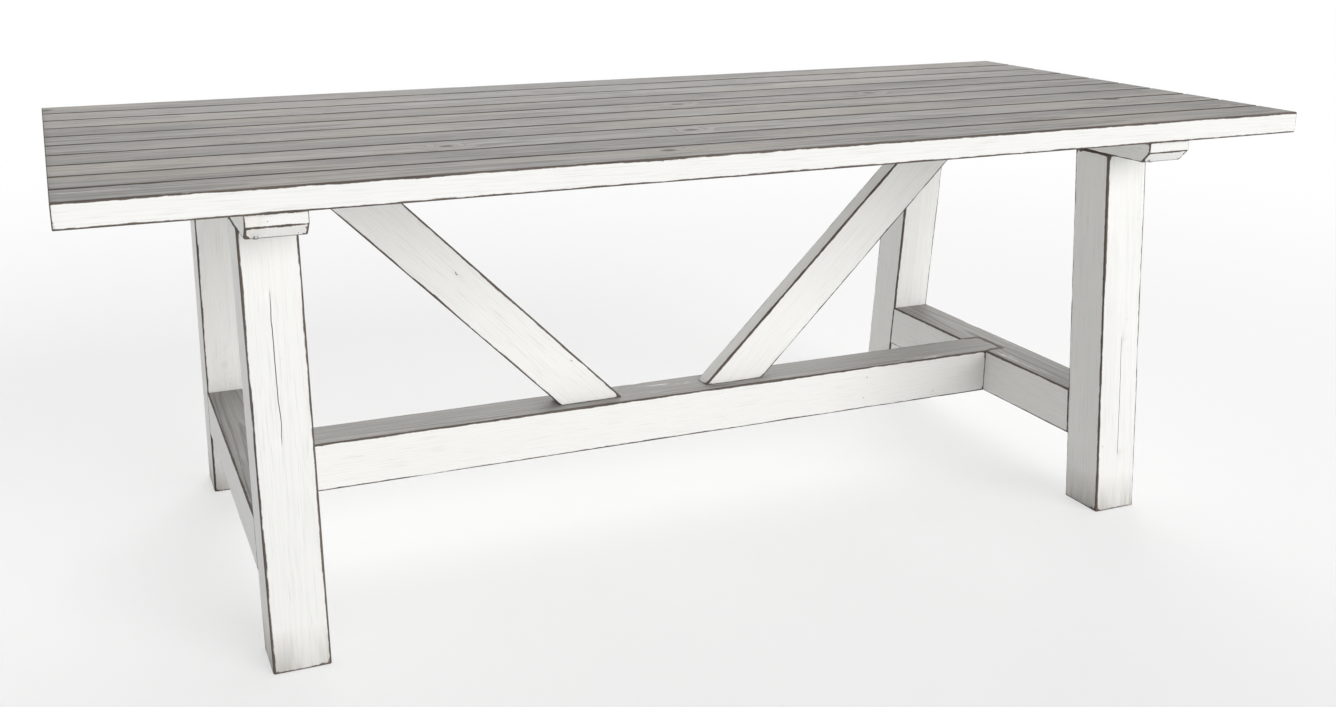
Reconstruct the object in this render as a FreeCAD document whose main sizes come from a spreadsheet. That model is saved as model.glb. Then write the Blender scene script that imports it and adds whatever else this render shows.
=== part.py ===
"""Farmhouse trestle dining table: ten spaced top boards on two splayed leg frames.

Millimetres. +X runs along the top, -Y is the long side seen from the front, +Z is up. The origin is on the
floor under the middle of the top. Every timber is a separate solid with its own joinery: tenoned legs and end
stretchers, half-lapped centre stretcher, two raking braces, and screws driven from below.
"""
import FreeCAD, Part
import os
from types import SimpleNamespace

import Sketcher

BOARD_COUNT = 10
FULL_TURN = 360
HALF_TURN = 180
COUNTERSINK_ANGLE = 90

# Driving dimensions: name, size, what it measures
SIZES = (
    ("top_length", 2133.6, "length of the top boards"),
    ("table_height", 762.0, "floor to the upper face of the boards"),
    ("board_width", 88.9, "width of one top board"),
    ("board_thickness", 38.1, "thickness of one top board"),
    ("board_gap", 4.2, "open gap between neighbouring boards"),
    ("edge_ease", 3.0, "radius on the long edges of every timber"),
    ("end_overhang", 241.3, "end of the top to the outer face of the legs"),
    ("leg_section", 88.9, "side of the square leg stock"),
    ("leg_splay", 5.0, "lean of the legs from upright, in degrees, feet outwards"),
    ("leg_setback", 101.5, "end of a batten to the outer face of the leg head"),
    ("head_tenon_width", 30.0, "leg head tenon along the table"),
    ("head_tenon_depth", 50.0, "leg head tenon across the table"),
    ("head_tenon_length", 28.0, "leg head tenon upwards into the batten"),
    ("batten_width", 88.9, "width of a cross batten along the table"),
    ("batten_thickness", 38.1, "thickness of a cross batten"),
    ("batten_inset", 7.9, "long side of the top to the end of a batten"),
    ("batten_chamfer", 19.05, "chamfer under each end of a batten"),
    ("cleat_width", 88.9, "width of the centre cleat along the table"),
    ("cleat_thickness", 19.05, "thickness of the centre cleat"),
    ("cleat_inset", 31.4, "long side of the top to the end of the cleat"),
    ("cleat_taper", 60.0, "length of the taper at each end of the cleat"),
    ("cleat_tip", 6.0, "thickness left at the ends of the cleat"),
    ("stretcher_section", 88.9, "side of the square stretcher stock"),
    ("stretcher_clearance", 127.0, "floor to the underside of the stretchers"),
    ("stretcher_tenon_thickness", 28.0, "end stretcher tenon along the table"),
    ("stretcher_tenon_height", 60.0, "end stretcher tenon, upright"),
    ("stretcher_tenon_length", 40.0, "end stretcher tenon into the leg"),
    ("lap_length", 44.45, "reach of the centre stretcher into an end stretcher"),
    ("lap_depth", 44.45, "height of the lapped tongue"),
    ("brace_width", 88.9, "width of a brace, square to its length"),
    ("brace_thickness", 38.1, "thickness of a brace across the table"),
    ("brace_foot_spacing", 177.8, "between the feet of the two braces"),
    ("brace_head_room", 14.0, "head of a brace to the batten beside it"),
    ("joint_play", 0.2, "play on each side of a tenon, tongue or mortise"),
    ("mortise_room", 2.0, "room past the end of a tenon"),
    ("screw_play", 0.2, "radial play of a screw in its bore"),
    ("head_sink", 0.5, "depth of a screw head below the face"),
    ("well_room", 1.0, "room round a countersink at the bottom of a well"),
    ("board_screw_head", 8.6, "head diameter of the screws into the boards"),
    ("board_screw_shank", 4.2, "shank diameter of the screws into the boards"),
    ("frame_screw_head", 11.0, "head diameter of the screws in the frame"),
    ("frame_screw_shank", 5.6, "shank diameter of the screws in the frame"),
    ("screw_point", 7.0, "length of the point of a screw"),
    ("drive_width", 3.2, "width of the square socket in a screw head"),
    ("drive_depth", 2.2, "depth of the square socket in a screw head"),
    ("batten_screw_row", 56.0, "between the two rows of screws along a batten"),
    ("batten_screw_stagger", 22.0, "middle of a board to its batten screws"),
    ("batten_screw_bite", 26.0, "batten screw held in the board"),
    ("cleat_screw_offset", 22.0, "middle of a board to its cleat screw"),
    ("cleat_screw_well", 6.5, "depth of the well under a cleat screw"),
    ("cleat_screw_bite", 25.0, "cleat screw held in the board"),
    ("lap_screw_spacing", 44.0, "between the two screws of a lap"),
    ("lap_screw_bite", 32.0, "lap screw held in the tongue"),
    ("brace_foot_screw_spacing", 40.0, "between the two screws under a brace"),
    ("brace_foot_screw_bite", 38.0, "foot screw held in the brace"),
    ("brace_top_screw_spacing", 20.0, "between the two screws in a brace head"),
    ("brace_top_screw_grip", 46.0, "top screw through the brace"),
    ("brace_top_screw_bite", 30.0, "top screw held in the board"),
)

doc = FreeCAD.newDocument("farmhouse_dining_table")
sheet = doc.addObject("Spreadsheet::Sheet", "Sizes")
for row, (alias, size, meaning) in enumerate(SIZES, start=1):
    sheet.set(f"A{row}", alias)
    sheet.set(f"B{row}", str(size))
    sheet.set(f"C{row}", meaning)
    sheet.setAlias(f"B{row}", alias)
doc.recompute()

# Each size as the text that an expression uses
S = SimpleNamespace(**{alias: f"Sizes.{alias}" for alias, size, meaning in SIZES})

# Heights
UNDER_TOP = f"({S.table_height} - {S.board_thickness})"
LEG_HEAD = f"({UNDER_TOP} - {S.batten_thickness})"
STRETCHER_LOW = S.stretcher_clearance
STRETCHER_TOP = f"({S.stretcher_clearance} + {S.stretcher_section})"
STRETCHER_MIDDLE = f"({S.stretcher_clearance} + {S.stretcher_section} / 2)"

# Places along the table
TRESTLE_X = f"({S.top_length} / 2 - {S.end_overhang} - {S.leg_section} / 2)"
STRETCHER_REACH = f"({TRESTLE_X} - {S.stretcher_section} / 2)"
LAP_X = f"({STRETCHER_REACH} + {S.lap_length} / 2)"

# Places across the table, as distances from its middle
BOARD_PITCH = f"({S.board_width} + {S.board_gap})"
HALF_TOP = f"(({BOARD_COUNT} * {BOARD_PITCH} - {S.board_gap}) / 2)"
HALF_BATTEN = f"({HALF_TOP} - {S.batten_inset})"
HALF_CLEAT = f"({HALF_TOP} - {S.cleat_inset})"
LEG_DEPTH = f"({S.leg_section} / cos({S.leg_splay}))"
LEG_HEAD_OUTER = f"({HALF_BATTEN} - {S.leg_setback})"
LEG_HEAD_MIDDLE = f"({LEG_HEAD_OUTER} - {LEG_DEPTH} / 2)"

# A brace spans from its foot to its head, and its slope follows from both ends
BRACE_FOOT = f"({S.brace_foot_spacing} / 2)"
BRACE_HEAD = f"({TRESTLE_X} - {S.batten_width} / 2 - {S.brace_head_room})"
BRACE_SPAN = f"({BRACE_HEAD} - {BRACE_FOOT})"
BRACE_RISE = f"({UNDER_TOP} - {STRETCHER_TOP})"
BRACE_SLOPE = (
    f"(atan2({BRACE_RISE}; {BRACE_SPAN})"
    f" + asin({S.brace_width} / sqrt({BRACE_SPAN} ^ 2 + {BRACE_RISE} ^ 2)))"
)
BRACE_CUT = f"({S.brace_width} / sin({BRACE_SLOPE}))"
BRACE_TOP_SCREW_X = f"({BRACE_HEAD} - {BRACE_CUT} / 2)"
BRACE_FOOT_SCREW_X = (
    f"({BRACE_FOOT} + {BRACE_CUT} / 2 + {S.brace_foot_screw_bite} / (2 * tan({BRACE_SLOPE})))"
)


def leg_outer(height):
    """Distance of a leg's outer face from the middle of the table at a height."""
    return f"({LEG_HEAD_OUTER} + ({LEG_HEAD} - {height}) * tan({S.leg_splay}))"


def leg_inner(height):
    """Distance of a leg's inner face from the middle of the table at a height."""
    return f"({leg_outer(height)} - {LEG_DEPTH})"


def board_middle(board):
    """Place of a board's centre line across the table, counted from the front."""
    return f"({board - (BOARD_COUNT - 1) / 2} * {BOARD_PITCH})"


def cleat_screw_y(board):
    """Place of a board's cleat screw, on the side of its centre line nearer the middle."""
    inwards = 1 if board < BOARD_COUNT / 2 else -1
    return f"({board_middle(board)} + {inwards} * {S.cleat_screw_offset})"


def batten_screw_places(board):
    """The two staggered screws that hold a board to a batten, measured from the batten's middle."""
    half_row = f"{S.batten_screw_row} / 2"
    return [
        (f"-{half_row}", f"{board_middle(board)} - {S.batten_screw_stagger}"),
        (half_row, f"{board_middle(board)} + {S.batten_screw_stagger}"),
    ]


def lap_screw_places():
    """The pair of screws in each lap, side by side across the tongue."""
    return [
        (f"{side} * {LAP_X}", f"{row} * {S.lap_screw_spacing} / 2") for side in (-1, 1) for row in (-1, 1)
    ]


def brace_foot_screw_places(sides=(-1, 1)):
    """The pair of screws under each brace foot, on the table's centre line."""
    spread = f"{S.brace_foot_screw_spacing} / 2"
    return [
        (f"{side} * ({BRACE_FOOT_SCREW_X} + {row} * {spread})", "0") for side in sides for row in (-1, 1)
    ]


def brace_top_screw_places(sides=(-1, 1)):
    """The pair of screws in each brace head, one into each board beside the middle gap."""
    return [
        (f"{side} * {BRACE_TOP_SCREW_X}", f"{row} * {S.brace_top_screw_spacing} / 2")
        for side in sides
        for row in (-1, 1)
    ]


def number(expression):
    """The value of an expression on the sheet."""
    return float(sheet.evalExpression(expression))


def new_body(label, x="0", y="0", z="0", turned=False):
    """An empty body with its name and place; a turned one faces the other way about the upright axis."""
    body = doc.addObject("PartDesign::Body", label)
    body.Label = label
    body.AllowCompound = True
    angle = HALF_TURN if turned else 0
    body.Placement = FreeCAD.Placement(FreeCAD.Vector(), FreeCAD.Rotation(FreeCAD.Vector(0, 0, 1), angle))
    for axis, place in zip("xyz", (x, y, z)):
        body.setExpression(f"Placement.Base.{axis}", place)
    return body


def new_sketch(body, name, role, offset=("0", "0", "0")):
    """A sketch on one of the body's own planes, moved by an offset in the sketch's axes."""
    sketch = body.newObject("Sketcher::SketchObject", f"{body.Label}_{name}")
    plane = next(item for item in body.Origin.OriginFeatures if item.Role == role)
    sketch.AttachmentSupport = [(plane, "")]
    sketch.MapMode = "FlatFace"
    for axis, place in zip("xyz", offset):
        sketch.setExpression(f"AttachmentOffset.Base.{axis}", place)
    return sketch


def hold_point(sketch, geometry, point, place):
    """Fix one point of a sketch at a place given by two expressions from the sketch's origin."""
    for kind, expression in zip(("DistanceX", "DistanceY"), place):
        constraint = Sketcher.Constraint(kind, -1, 1, geometry, point, number(expression))
        index = sketch.addConstraint(constraint)
        sketch.setExpression(f"Constraints[{index}]", expression)


def outline(body, name, role, corners, offset=("0", "0", "0")):
    """A closed outline of straight lines through corners given as pairs of expressions."""
    sketch = new_sketch(body, name, role, offset)
    points = [FreeCAD.Vector(number(across), number(up), 0) for across, up in corners]
    count = len(points)
    for index, start in enumerate(points):
        sketch.addGeometry(Part.LineSegment(start, points[(index + 1) % count]), False)
    for index in range(count):
        sketch.addConstraint(Sketcher.Constraint("Coincident", index, 2, (index + 1) % count, 1))
    for index, corner in enumerate(corners):
        hold_point(sketch, index, 1, corner)
    return sketch


def box_corners(left, right, low, high):
    """The corners of an upright rectangle."""
    return [(left, low), (right, low), (right, high), (left, high)]


def extrude(body, kind, name, sketch, length):
    """Pad or pocket an outline evenly to both sides of its plane."""
    feature = body.newObject(f"PartDesign::{kind}", f"{body.Label}_{name}")
    feature.Profile = sketch
    feature.SideType = "Symmetric"
    feature.setExpression("Length", length)
    doc.recompute()
    return feature


def ease_long_edges(body, base):
    """Round the long edges that a timber has from the sawmill."""
    longest = max(edge.Length for edge in base.Shape.Edges)
    names = [
        f"Edge{index}"
        for index, edge in enumerate(base.Shape.Edges, start=1)
        if edge.Length > longest / 2
    ]
    fillet = body.newObject("PartDesign::Fillet", f"{body.Label}_eased_edges")
    fillet.Base = (base, names)
    fillet.setExpression("Radius", S.edge_ease)
    doc.recompute()


def drill(body, name, places, diameter, depth, start="0", mouth=None):
    """Drill upwards from a height; with a mouth, each bore is countersunk to that diameter."""
    sketch = new_sketch(body, f"{name}_centres", "XY_Plane", ("0", "0", start))
    for index, (x, y) in enumerate(places):
        centre = FreeCAD.Vector(number(x), number(y), 0)
        sketch.addGeometry(Part.Circle(centre, FreeCAD.Vector(0, 0, 1), number(diameter) / 2), False)
        hold_point(sketch, index, 3, (x, y))
        ring = sketch.addConstraint(Sketcher.Constraint("Diameter", index, number(diameter)))
        sketch.setExpression(f"Constraints[{ring}]", diameter)
    doc.recompute()
    hole = body.newObject("PartDesign::Hole", f"{body.Label}_{name}_bores")
    hole.Profile = sketch
    hole.Reversed = True
    hole.DepthType = "Dimension"
    hole.DrillPoint = "Flat"
    hole.setExpression("Depth", depth)
    hole.setExpression("Diameter", diameter)
    if mouth:
        hole.HoleCutType = "Countersink"
        hole.HoleCutCustomValues = True
        hole.HoleCutCountersinkAngle = COUNTERSINK_ANGLE
        hole.setExpression("HoleCutDiameter", mouth)
    doc.recompute()


def bore(diameter):
    """Diameter of the bore for a screw head or shank."""
    return f"({diameter} + 2 * {S.screw_play})"


def countersink(head):
    """Diameter of the countersink at the face, wide enough to sink the head under it."""
    return f"({bore(head)} + 2 * {S.head_sink})"


def drill_for_screws(body, name, places, head, shank, depth, start="0"):
    """Countersunk bores from below for screws."""
    drill(body, name, places, bore(shank), depth, start, countersink(head))


def drill_wells(body, name, places, head, depth, start="0"):
    """Wells from below that take a screw head and its driver deep into a timber."""
    drill(body, name, places, f"({countersink(head)} + 2 * {S.well_room})", depth, start)


def screw(body, name, x, y, z, head, shank, length):
    """One screw standing point upwards, its head at a place, with a square socket. Returns its features."""
    half_head = f"{head} / 2"
    half_shank = f"{shank} / 2"
    half_drive = f"{S.drive_width} / 2"
    profile = outline(body, f"{name}_profile", "XZ_Plane", [
        ("0", "0"),
        (half_head, "0"),
        (half_shank, f"{half_head} - {half_shank}"),
        (half_shank, f"{length} - {S.screw_point}"),
        ("0", length),
    ], (x, z, f"-({y})"))
    turned = body.newObject("PartDesign::Revolution", f"{body.Label}_{name}_turned")
    turned.Profile = profile
    turned.ReferenceAxis = (profile, ["V_Axis"])
    turned.Angle = FULL_TURN
    square = box_corners(f"-{half_drive}", half_drive, f"-{half_drive}", half_drive)
    socket_outline = outline(body, f"{name}_socket_outline", "XY_Plane", square, (x, y, z))
    socket = body.newObject("PartDesign::Pocket", f"{body.Label}_{name}_socket")
    socket.Profile = socket_outline
    socket.Reversed = True
    socket.setExpression("Length", S.drive_depth)
    doc.recompute()
    return [turned, socket]


def repeat_across(body, name, features, count, pitch, towards_front=False):
    """Repeat features across the table at a pitch."""
    pattern = body.newObject("PartDesign::LinearPattern", f"{body.Label}_{name}")
    pattern.Originals = features
    axis = next(item for item in body.Origin.OriginFeatures if item.Role == "Y_Axis")
    pattern.Direction = (axis, [""])
    pattern.Reversed = towards_front
    pattern.Mode = "Spacing"
    pattern.Occurrences = count
    pattern.setExpression("Offset", pitch)
    body.Tip = pattern
    doc.recompute()


def top_board(board):
    """One board of the top, with blind bores from below for its screws."""
    body = new_body(f"top_board_{board + 1:02d}", y=board_middle(board), z=UNDER_TOP)
    section = box_corners(f"-{S.board_width} / 2", f"{S.board_width} / 2", "0", S.board_thickness)
    plank = extrude(body, "Pad", "plank", outline(body, "section", "YZ_Plane", section), S.top_length)
    ease_long_edges(body, plank)
    batten_places = [
        (f"{side} * {TRESTLE_X} + {x}", f"{y} - {board_middle(board)}")
        for side in (-1, 1)
        for x, y in batten_screw_places(board)
    ]
    shank = bore(S.board_screw_shank)
    drill(body, "batten_pilots", batten_places, shank, f"{S.batten_screw_bite} + {S.screw_play}")
    cleat_place = [("0", f"{cleat_screw_y(board)} - {board_middle(board)}")]
    drill(body, "cleat_pilot", cleat_place, shank, f"{S.cleat_screw_bite} + {S.screw_play}")
    beside_middle = {BOARD_COUNT // 2 - 1: -1, BOARD_COUNT // 2: 1}
    if board in beside_middle:
        screw_y = f"{beside_middle[board]} * {S.brace_top_screw_spacing} / 2 - {board_middle(board)}"
        brace_places = [(f"{side} * {BRACE_TOP_SCREW_X}", screw_y) for side in (-1, 1)]
        pilot = bore(S.frame_screw_shank)
        drill(body, "brace_pilots", brace_places, pilot, f"{S.brace_top_screw_bite} + {S.screw_play}")
    return body


def cross_batten(side, sign):
    """The batten that carries the boards over one pair of legs, mortised for the leg heads."""
    body = new_body(f"{side}_batten", x=f"{sign} * {TRESTLE_X}", z=LEG_HEAD)
    profile = outline(body, "profile", "YZ_Plane", [
        (f"-{HALF_BATTEN} + {S.batten_chamfer}", "0"),
        (f"{HALF_BATTEN} - {S.batten_chamfer}", "0"),
        (HALF_BATTEN, S.batten_chamfer),
        (HALF_BATTEN, S.batten_thickness),
        (f"-{HALF_BATTEN}", S.batten_thickness),
        (f"-{HALF_BATTEN}", S.batten_chamfer),
    ])
    ease_long_edges(body, extrude(body, "Pad", "timber", profile, S.batten_width))
    half_mortise = f"({S.head_tenon_depth} / 2 + {S.joint_play})"
    mortise_depth = f"{S.head_tenon_length} + {S.mortise_room}"
    for face, middle in (("front", f"-{LEG_HEAD_MIDDLE}"), ("back", LEG_HEAD_MIDDLE)):
        mouth = box_corners(f"{middle} - {half_mortise}", f"{middle} + {half_mortise}", "0", mortise_depth)
        mortise = outline(body, f"{face}_mortise_outline", "YZ_Plane", mouth)
        extrude(body, "Pocket", f"{face}_mortise", mortise, f"{S.head_tenon_width} + 2 * {S.joint_play}")
    places = [place for board in range(BOARD_COUNT) for place in batten_screw_places(board)]
    drill_for_screws(body, "screw", places, S.board_screw_head, S.board_screw_shank, S.batten_thickness)
    return body


def centre_cleat():
    """The thin cleat under the middle of the boards, tapered at its ends so that it stays out of sight."""
    body = new_body("centre_cleat", z=f"{UNDER_TOP} - {S.cleat_thickness}")
    tip_low = f"{S.cleat_thickness} - {S.cleat_tip}"
    profile = outline(body, "profile", "YZ_Plane", [
        (f"-{HALF_CLEAT} + {S.cleat_taper}", "0"),
        (f"{HALF_CLEAT} - {S.cleat_taper}", "0"),
        (HALF_CLEAT, tip_low),
        (HALF_CLEAT, S.cleat_thickness),
        (f"-{HALF_CLEAT}", S.cleat_thickness),
        (f"-{HALF_CLEAT}", tip_low),
    ])
    ease_long_edges(body, extrude(body, "Pad", "timber", profile, S.cleat_width))
    places = [("0", cleat_screw_y(board)) for board in range(BOARD_COUNT)]
    drill_wells(body, "well", places, S.board_screw_head, S.cleat_screw_well)
    drill_for_screws(
        body, "screw", places, S.board_screw_head, S.board_screw_shank, S.cleat_thickness,
        start=S.cleat_screw_well,
    )
    return body


def leg(label, sign, turned):
    """A splayed leg: level cuts at floor and head, a tenon up into the batten, a mortise for its stretcher."""
    body = new_body(label, x=f"{sign} * {TRESTLE_X}", turned=turned)
    profile = outline(body, "profile", "YZ_Plane", [
        (f"-{leg_outer('0')}", "0"),
        (f"-{leg_inner('0')}", "0"),
        (f"-{leg_inner(LEG_HEAD)}", LEG_HEAD),
        (f"-{leg_outer(LEG_HEAD)}", LEG_HEAD),
    ])
    ease_long_edges(body, extrude(body, "Pad", "timber", profile, S.leg_section))
    half_tenon = f"{S.head_tenon_depth} / 2"
    tenon = outline(body, "head_tenon_outline", "YZ_Plane", box_corners(
        f"-{LEG_HEAD_MIDDLE} - {half_tenon}",
        f"-{LEG_HEAD_MIDDLE} + {half_tenon}",
        LEG_HEAD,
        f"{LEG_HEAD} + {S.head_tenon_length}",
    ))
    extrude(body, "Pad", "head_tenon", tenon, S.head_tenon_width)
    half_mouth = f"({S.stretcher_tenon_height} / 2 + {S.joint_play})"
    mouth = leg_inner(STRETCHER_MIDDLE)
    mortise = outline(body, "stretcher_mortise_outline", "YZ_Plane", box_corners(
        f"-{mouth} - {S.stretcher_tenon_length} - {S.mortise_room}",
        f"-{mouth} + {S.stretcher_tenon_length}",
        f"{STRETCHER_MIDDLE} - {half_mouth}",
        f"{STRETCHER_MIDDLE} + {half_mouth}",
    ))
    width = f"{S.stretcher_tenon_thickness} + 2 * {S.joint_play}"
    extrude(body, "Pocket", "stretcher_mortise", mortise, width)
    return body


def end_stretcher(side, sign):
    """The low rail between a pair of legs, shouldered to their splay, notched for the centre stretcher."""
    body = new_body(f"{side}_end_stretcher", x=f"{sign} * {TRESTLE_X}", turned=sign > 0)
    low = leg_inner(STRETCHER_LOW)
    high = leg_inner(STRETCHER_TOP)
    profile = outline(body, "profile", "YZ_Plane", [
        (f"-{low}", STRETCHER_LOW),
        (low, STRETCHER_LOW),
        (high, STRETCHER_TOP),
        (f"-{high}", STRETCHER_TOP),
    ])
    ease_long_edges(body, extrude(body, "Pad", "timber", profile, S.stretcher_section))
    tip = f"({leg_inner(STRETCHER_MIDDLE)} + {S.stretcher_tenon_length})"
    half_tenon = f"{S.stretcher_tenon_height} / 2"
    tenons = outline(body, "tenon_outline", "YZ_Plane", box_corners(
        f"-{tip}", tip, f"{STRETCHER_MIDDLE} - {half_tenon}", f"{STRETCHER_MIDDLE} + {half_tenon}",
    ))
    extrude(body, "Pad", "tenons", tenons, S.stretcher_tenon_thickness)
    inner_face = f"{S.stretcher_section} / 2"
    notch = outline(body, "lap_notch_outline", "XZ_Plane", box_corners(
        f"{inner_face} - {S.lap_length}",
        f"{inner_face} + {S.lap_length}",
        f"{STRETCHER_TOP} - {S.lap_depth}",
        f"{STRETCHER_TOP} + {S.lap_depth}",
    ))
    extrude(body, "Pocket", "lap_notch", notch, f"{S.stretcher_section} + 2 * {S.joint_play}")
    screw_x = f"{inner_face} - {S.lap_length} / 2"
    places = [(screw_x, f"{row} * {S.lap_screw_spacing} / 2") for row in (-1, 1)]
    drill_for_screws(
        body, "lap_screw", places, S.frame_screw_head, S.frame_screw_shank, S.stretcher_section,
        start=STRETCHER_LOW,
    )
    return body


def centre_stretcher():
    """The long low rail, with a tongue at each end lapped over an end stretcher."""
    body = new_body("centre_stretcher")
    tongue_tip = f"({STRETCHER_REACH} + {S.lap_length} - {S.joint_play})"
    tongue_low = f"{STRETCHER_TOP} - {S.lap_depth}"
    profile = outline(body, "profile", "XZ_Plane", [
        (f"-{STRETCHER_REACH}", STRETCHER_LOW),
        (STRETCHER_REACH, STRETCHER_LOW),
        (STRETCHER_REACH, tongue_low),
        (tongue_tip, tongue_low),
        (tongue_tip, STRETCHER_TOP),
        (f"-{tongue_tip}", STRETCHER_TOP),
        (f"-{tongue_tip}", tongue_low),
        (f"-{STRETCHER_REACH}", tongue_low),
    ])
    ease_long_edges(body, extrude(body, "Pad", "timber", profile, S.stretcher_section))
    pilot_depth = f"{S.lap_screw_bite} + {S.screw_play}"
    drill(body, "lap_pilots", lap_screw_places(), bore(S.frame_screw_shank), pilot_depth, tongue_low)
    drill_for_screws(
        body, "brace_screw", brace_foot_screw_places(), S.frame_screw_head, S.frame_screw_shank,
        S.stretcher_section, start=STRETCHER_LOW,
    )
    return body


def brace(side, turned):
    """A raking brace from the centre stretcher up to the boards, level at both ends."""
    body = new_body(f"{side}_brace", turned=turned)
    profile = outline(body, "profile", "XZ_Plane", [
        (BRACE_FOOT, STRETCHER_TOP),
        (f"{BRACE_FOOT} + {BRACE_CUT}", STRETCHER_TOP),
        (BRACE_HEAD, UNDER_TOP),
        (f"{BRACE_HEAD} - {BRACE_CUT}", UNDER_TOP),
    ])
    ease_long_edges(body, extrude(body, "Pad", "timber", profile, S.brace_thickness))
    pilot_depth = f"{S.brace_foot_screw_bite} + {S.screw_play}"
    foot_places = brace_foot_screw_places((1,))
    drill(body, "foot_pilots", foot_places, bore(S.frame_screw_shank), pilot_depth, STRETCHER_TOP)
    head_places = brace_top_screw_places((1,))
    well_depth = f"({BRACE_RISE} - {S.brace_top_screw_grip} - {S.head_sink})"
    drill_wells(body, "head_well", head_places, S.frame_screw_head, well_depth, STRETCHER_TOP)
    drill_for_screws(
        body, "head_screw", head_places, S.frame_screw_head, S.frame_screw_shank, BRACE_RISE,
        start=f"{STRETCHER_TOP} + {well_depth}",
    )
    return body


def batten_screws(side, sign):
    """The screws that hold every board to one batten, two to a board."""
    body = new_body(f"{side}_batten_screws", x=f"{sign} * {TRESTLE_X}", z=LEG_HEAD)
    length = f"({S.batten_thickness} - {S.head_sink} + {S.batten_screw_bite})"
    features = []
    for index, (x, y) in enumerate(batten_screw_places(0), start=1):
        name = f"screw_{index}"
        features += screw(body, name, x, y, S.head_sink, S.board_screw_head, S.board_screw_shank, length)
    repeat_across(body, "row", features, BOARD_COUNT, BOARD_PITCH)
    return body


def cleat_screws():
    """The screws that hold every board to the centre cleat, one to a board."""
    body = new_body("cleat_screws", z=f"{UNDER_TOP} - {S.cleat_thickness}")
    head_height = f"({S.cleat_screw_well} + {S.head_sink})"
    length = f"({S.cleat_thickness} - {head_height} + {S.cleat_screw_bite})"
    half_count = BOARD_COUNT // 2
    for name, board, towards_front in (("front", 0, False), ("back", BOARD_COUNT - 1, True)):
        features = screw(
            body, f"{name}_screw", "0", cleat_screw_y(board), head_height,
            S.board_screw_head, S.board_screw_shank, length,
        )
        repeat_across(body, f"{name}_row", features, half_count, BOARD_PITCH, towards_front)
    return body


def frame_screws(label, places, height, length):
    """A few long screws of the frame, at places on the table."""
    body = new_body(label)
    for index, (x, y) in enumerate(places, start=1):
        name = f"screw_{index}"
        screw(body, name, x, y, height, S.frame_screw_head, S.frame_screw_shank, length)
    return body


nodes = [top_board(board) for board in range(BOARD_COUNT)]
for side, sign in (("left", -1), ("right", 1)):
    nodes.append(cross_batten(side, sign))
    nodes.append(leg(f"front_{side}_leg", sign, turned=False))
    nodes.append(leg(f"back_{side}_leg", sign, turned=True))
    nodes.append(end_stretcher(side, sign))
    nodes.append(brace(side, turned=sign < 0))
    nodes.append(batten_screws(side, sign))
nodes.append(centre_cleat())
nodes.append(cleat_screws())
nodes.append(centre_stretcher())
nodes.append(frame_screws(
    "lap_screws",
    lap_screw_places(),
    f"{STRETCHER_LOW} + {S.head_sink}",
    f"({S.stretcher_section} - {S.lap_depth} - {S.head_sink} + {S.lap_screw_bite})",
))
nodes.append(frame_screws(
    "brace_foot_screws",
    brace_foot_screw_places(),
    f"{STRETCHER_LOW} + {S.head_sink}",
    f"({S.stretcher_section} - {S.head_sink} + {S.brace_foot_screw_bite})",
))
nodes.append(frame_screws(
    "brace_top_screws",
    brace_top_screw_places(),
    f"{UNDER_TOP} - {S.brace_top_screw_grip}",
    f"({S.brace_top_screw_grip} + {S.brace_top_screw_bite})",
))
doc.recompute()

for item in doc.Objects:
    if "Invalid" in item.State or "Error" in item.State:
        raise RuntimeError(f"{item.Label} failed: {item.State}")
for node in nodes:
    if node.Shape.isNull() or not node.Shape.isValid():
        raise RuntimeError(f"{node.Label} has no valid shape")

os.makedirs("parts", exist_ok=True)
for node in nodes:
    node.Shape.exportStep(f"parts/{node.Label}.step")
    print(f"{node.Label}: {len(node.Shape.Solids)} solids, {node.Shape.Volume / 1000:.1f} cm3")
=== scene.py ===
"""Dresses the frame of a farmhouse dining table.

The base is white paint over dark stained timber, rubbed through along its edges, and grey on the
stretchers' upper faces, partly as shoe wear and partly as painted shade.
The ten planks of the top are grey-washed, a grey that is partly the finish and partly painted shade of
their upward faces, with dark open gaps between them.
"""

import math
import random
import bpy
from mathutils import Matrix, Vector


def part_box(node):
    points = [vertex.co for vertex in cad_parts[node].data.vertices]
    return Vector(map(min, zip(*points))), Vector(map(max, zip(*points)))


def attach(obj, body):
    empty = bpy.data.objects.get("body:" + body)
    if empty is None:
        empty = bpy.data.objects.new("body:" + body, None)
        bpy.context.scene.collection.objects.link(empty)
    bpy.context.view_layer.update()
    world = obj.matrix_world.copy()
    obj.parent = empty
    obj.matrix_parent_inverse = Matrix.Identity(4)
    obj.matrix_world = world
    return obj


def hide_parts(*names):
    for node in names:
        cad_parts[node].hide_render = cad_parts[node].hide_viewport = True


bl_info = {
    "name": "Farmhouse Dining Table",
    "version": (1, 0, 0),
    "blender": (4, 5, 0),
    "location": "3D View > Sidebar > Table",
    "description": "Dresses the table's frame in worn white paint and a grey-washed plank top",
    "category": "Object",
}

from collections import namedtuple
from dataclasses import dataclass

import bmesh
import bpy
from bpy.props import FloatProperty, FloatVectorProperty, IntProperty, PointerProperty
from mathutils import Matrix, Vector, noise

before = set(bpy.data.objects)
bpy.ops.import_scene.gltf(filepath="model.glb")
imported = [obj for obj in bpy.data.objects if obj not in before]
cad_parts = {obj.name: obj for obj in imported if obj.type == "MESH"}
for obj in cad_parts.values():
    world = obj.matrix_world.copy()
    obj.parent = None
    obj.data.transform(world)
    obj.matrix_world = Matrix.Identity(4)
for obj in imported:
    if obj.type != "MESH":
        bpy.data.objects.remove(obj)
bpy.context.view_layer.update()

BODY = "root"
SIDES = ("left", "right")
DEPTHS = ("front", "back")
BOARD_COUNT = sum(name.startswith("top_board_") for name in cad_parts)

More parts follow.
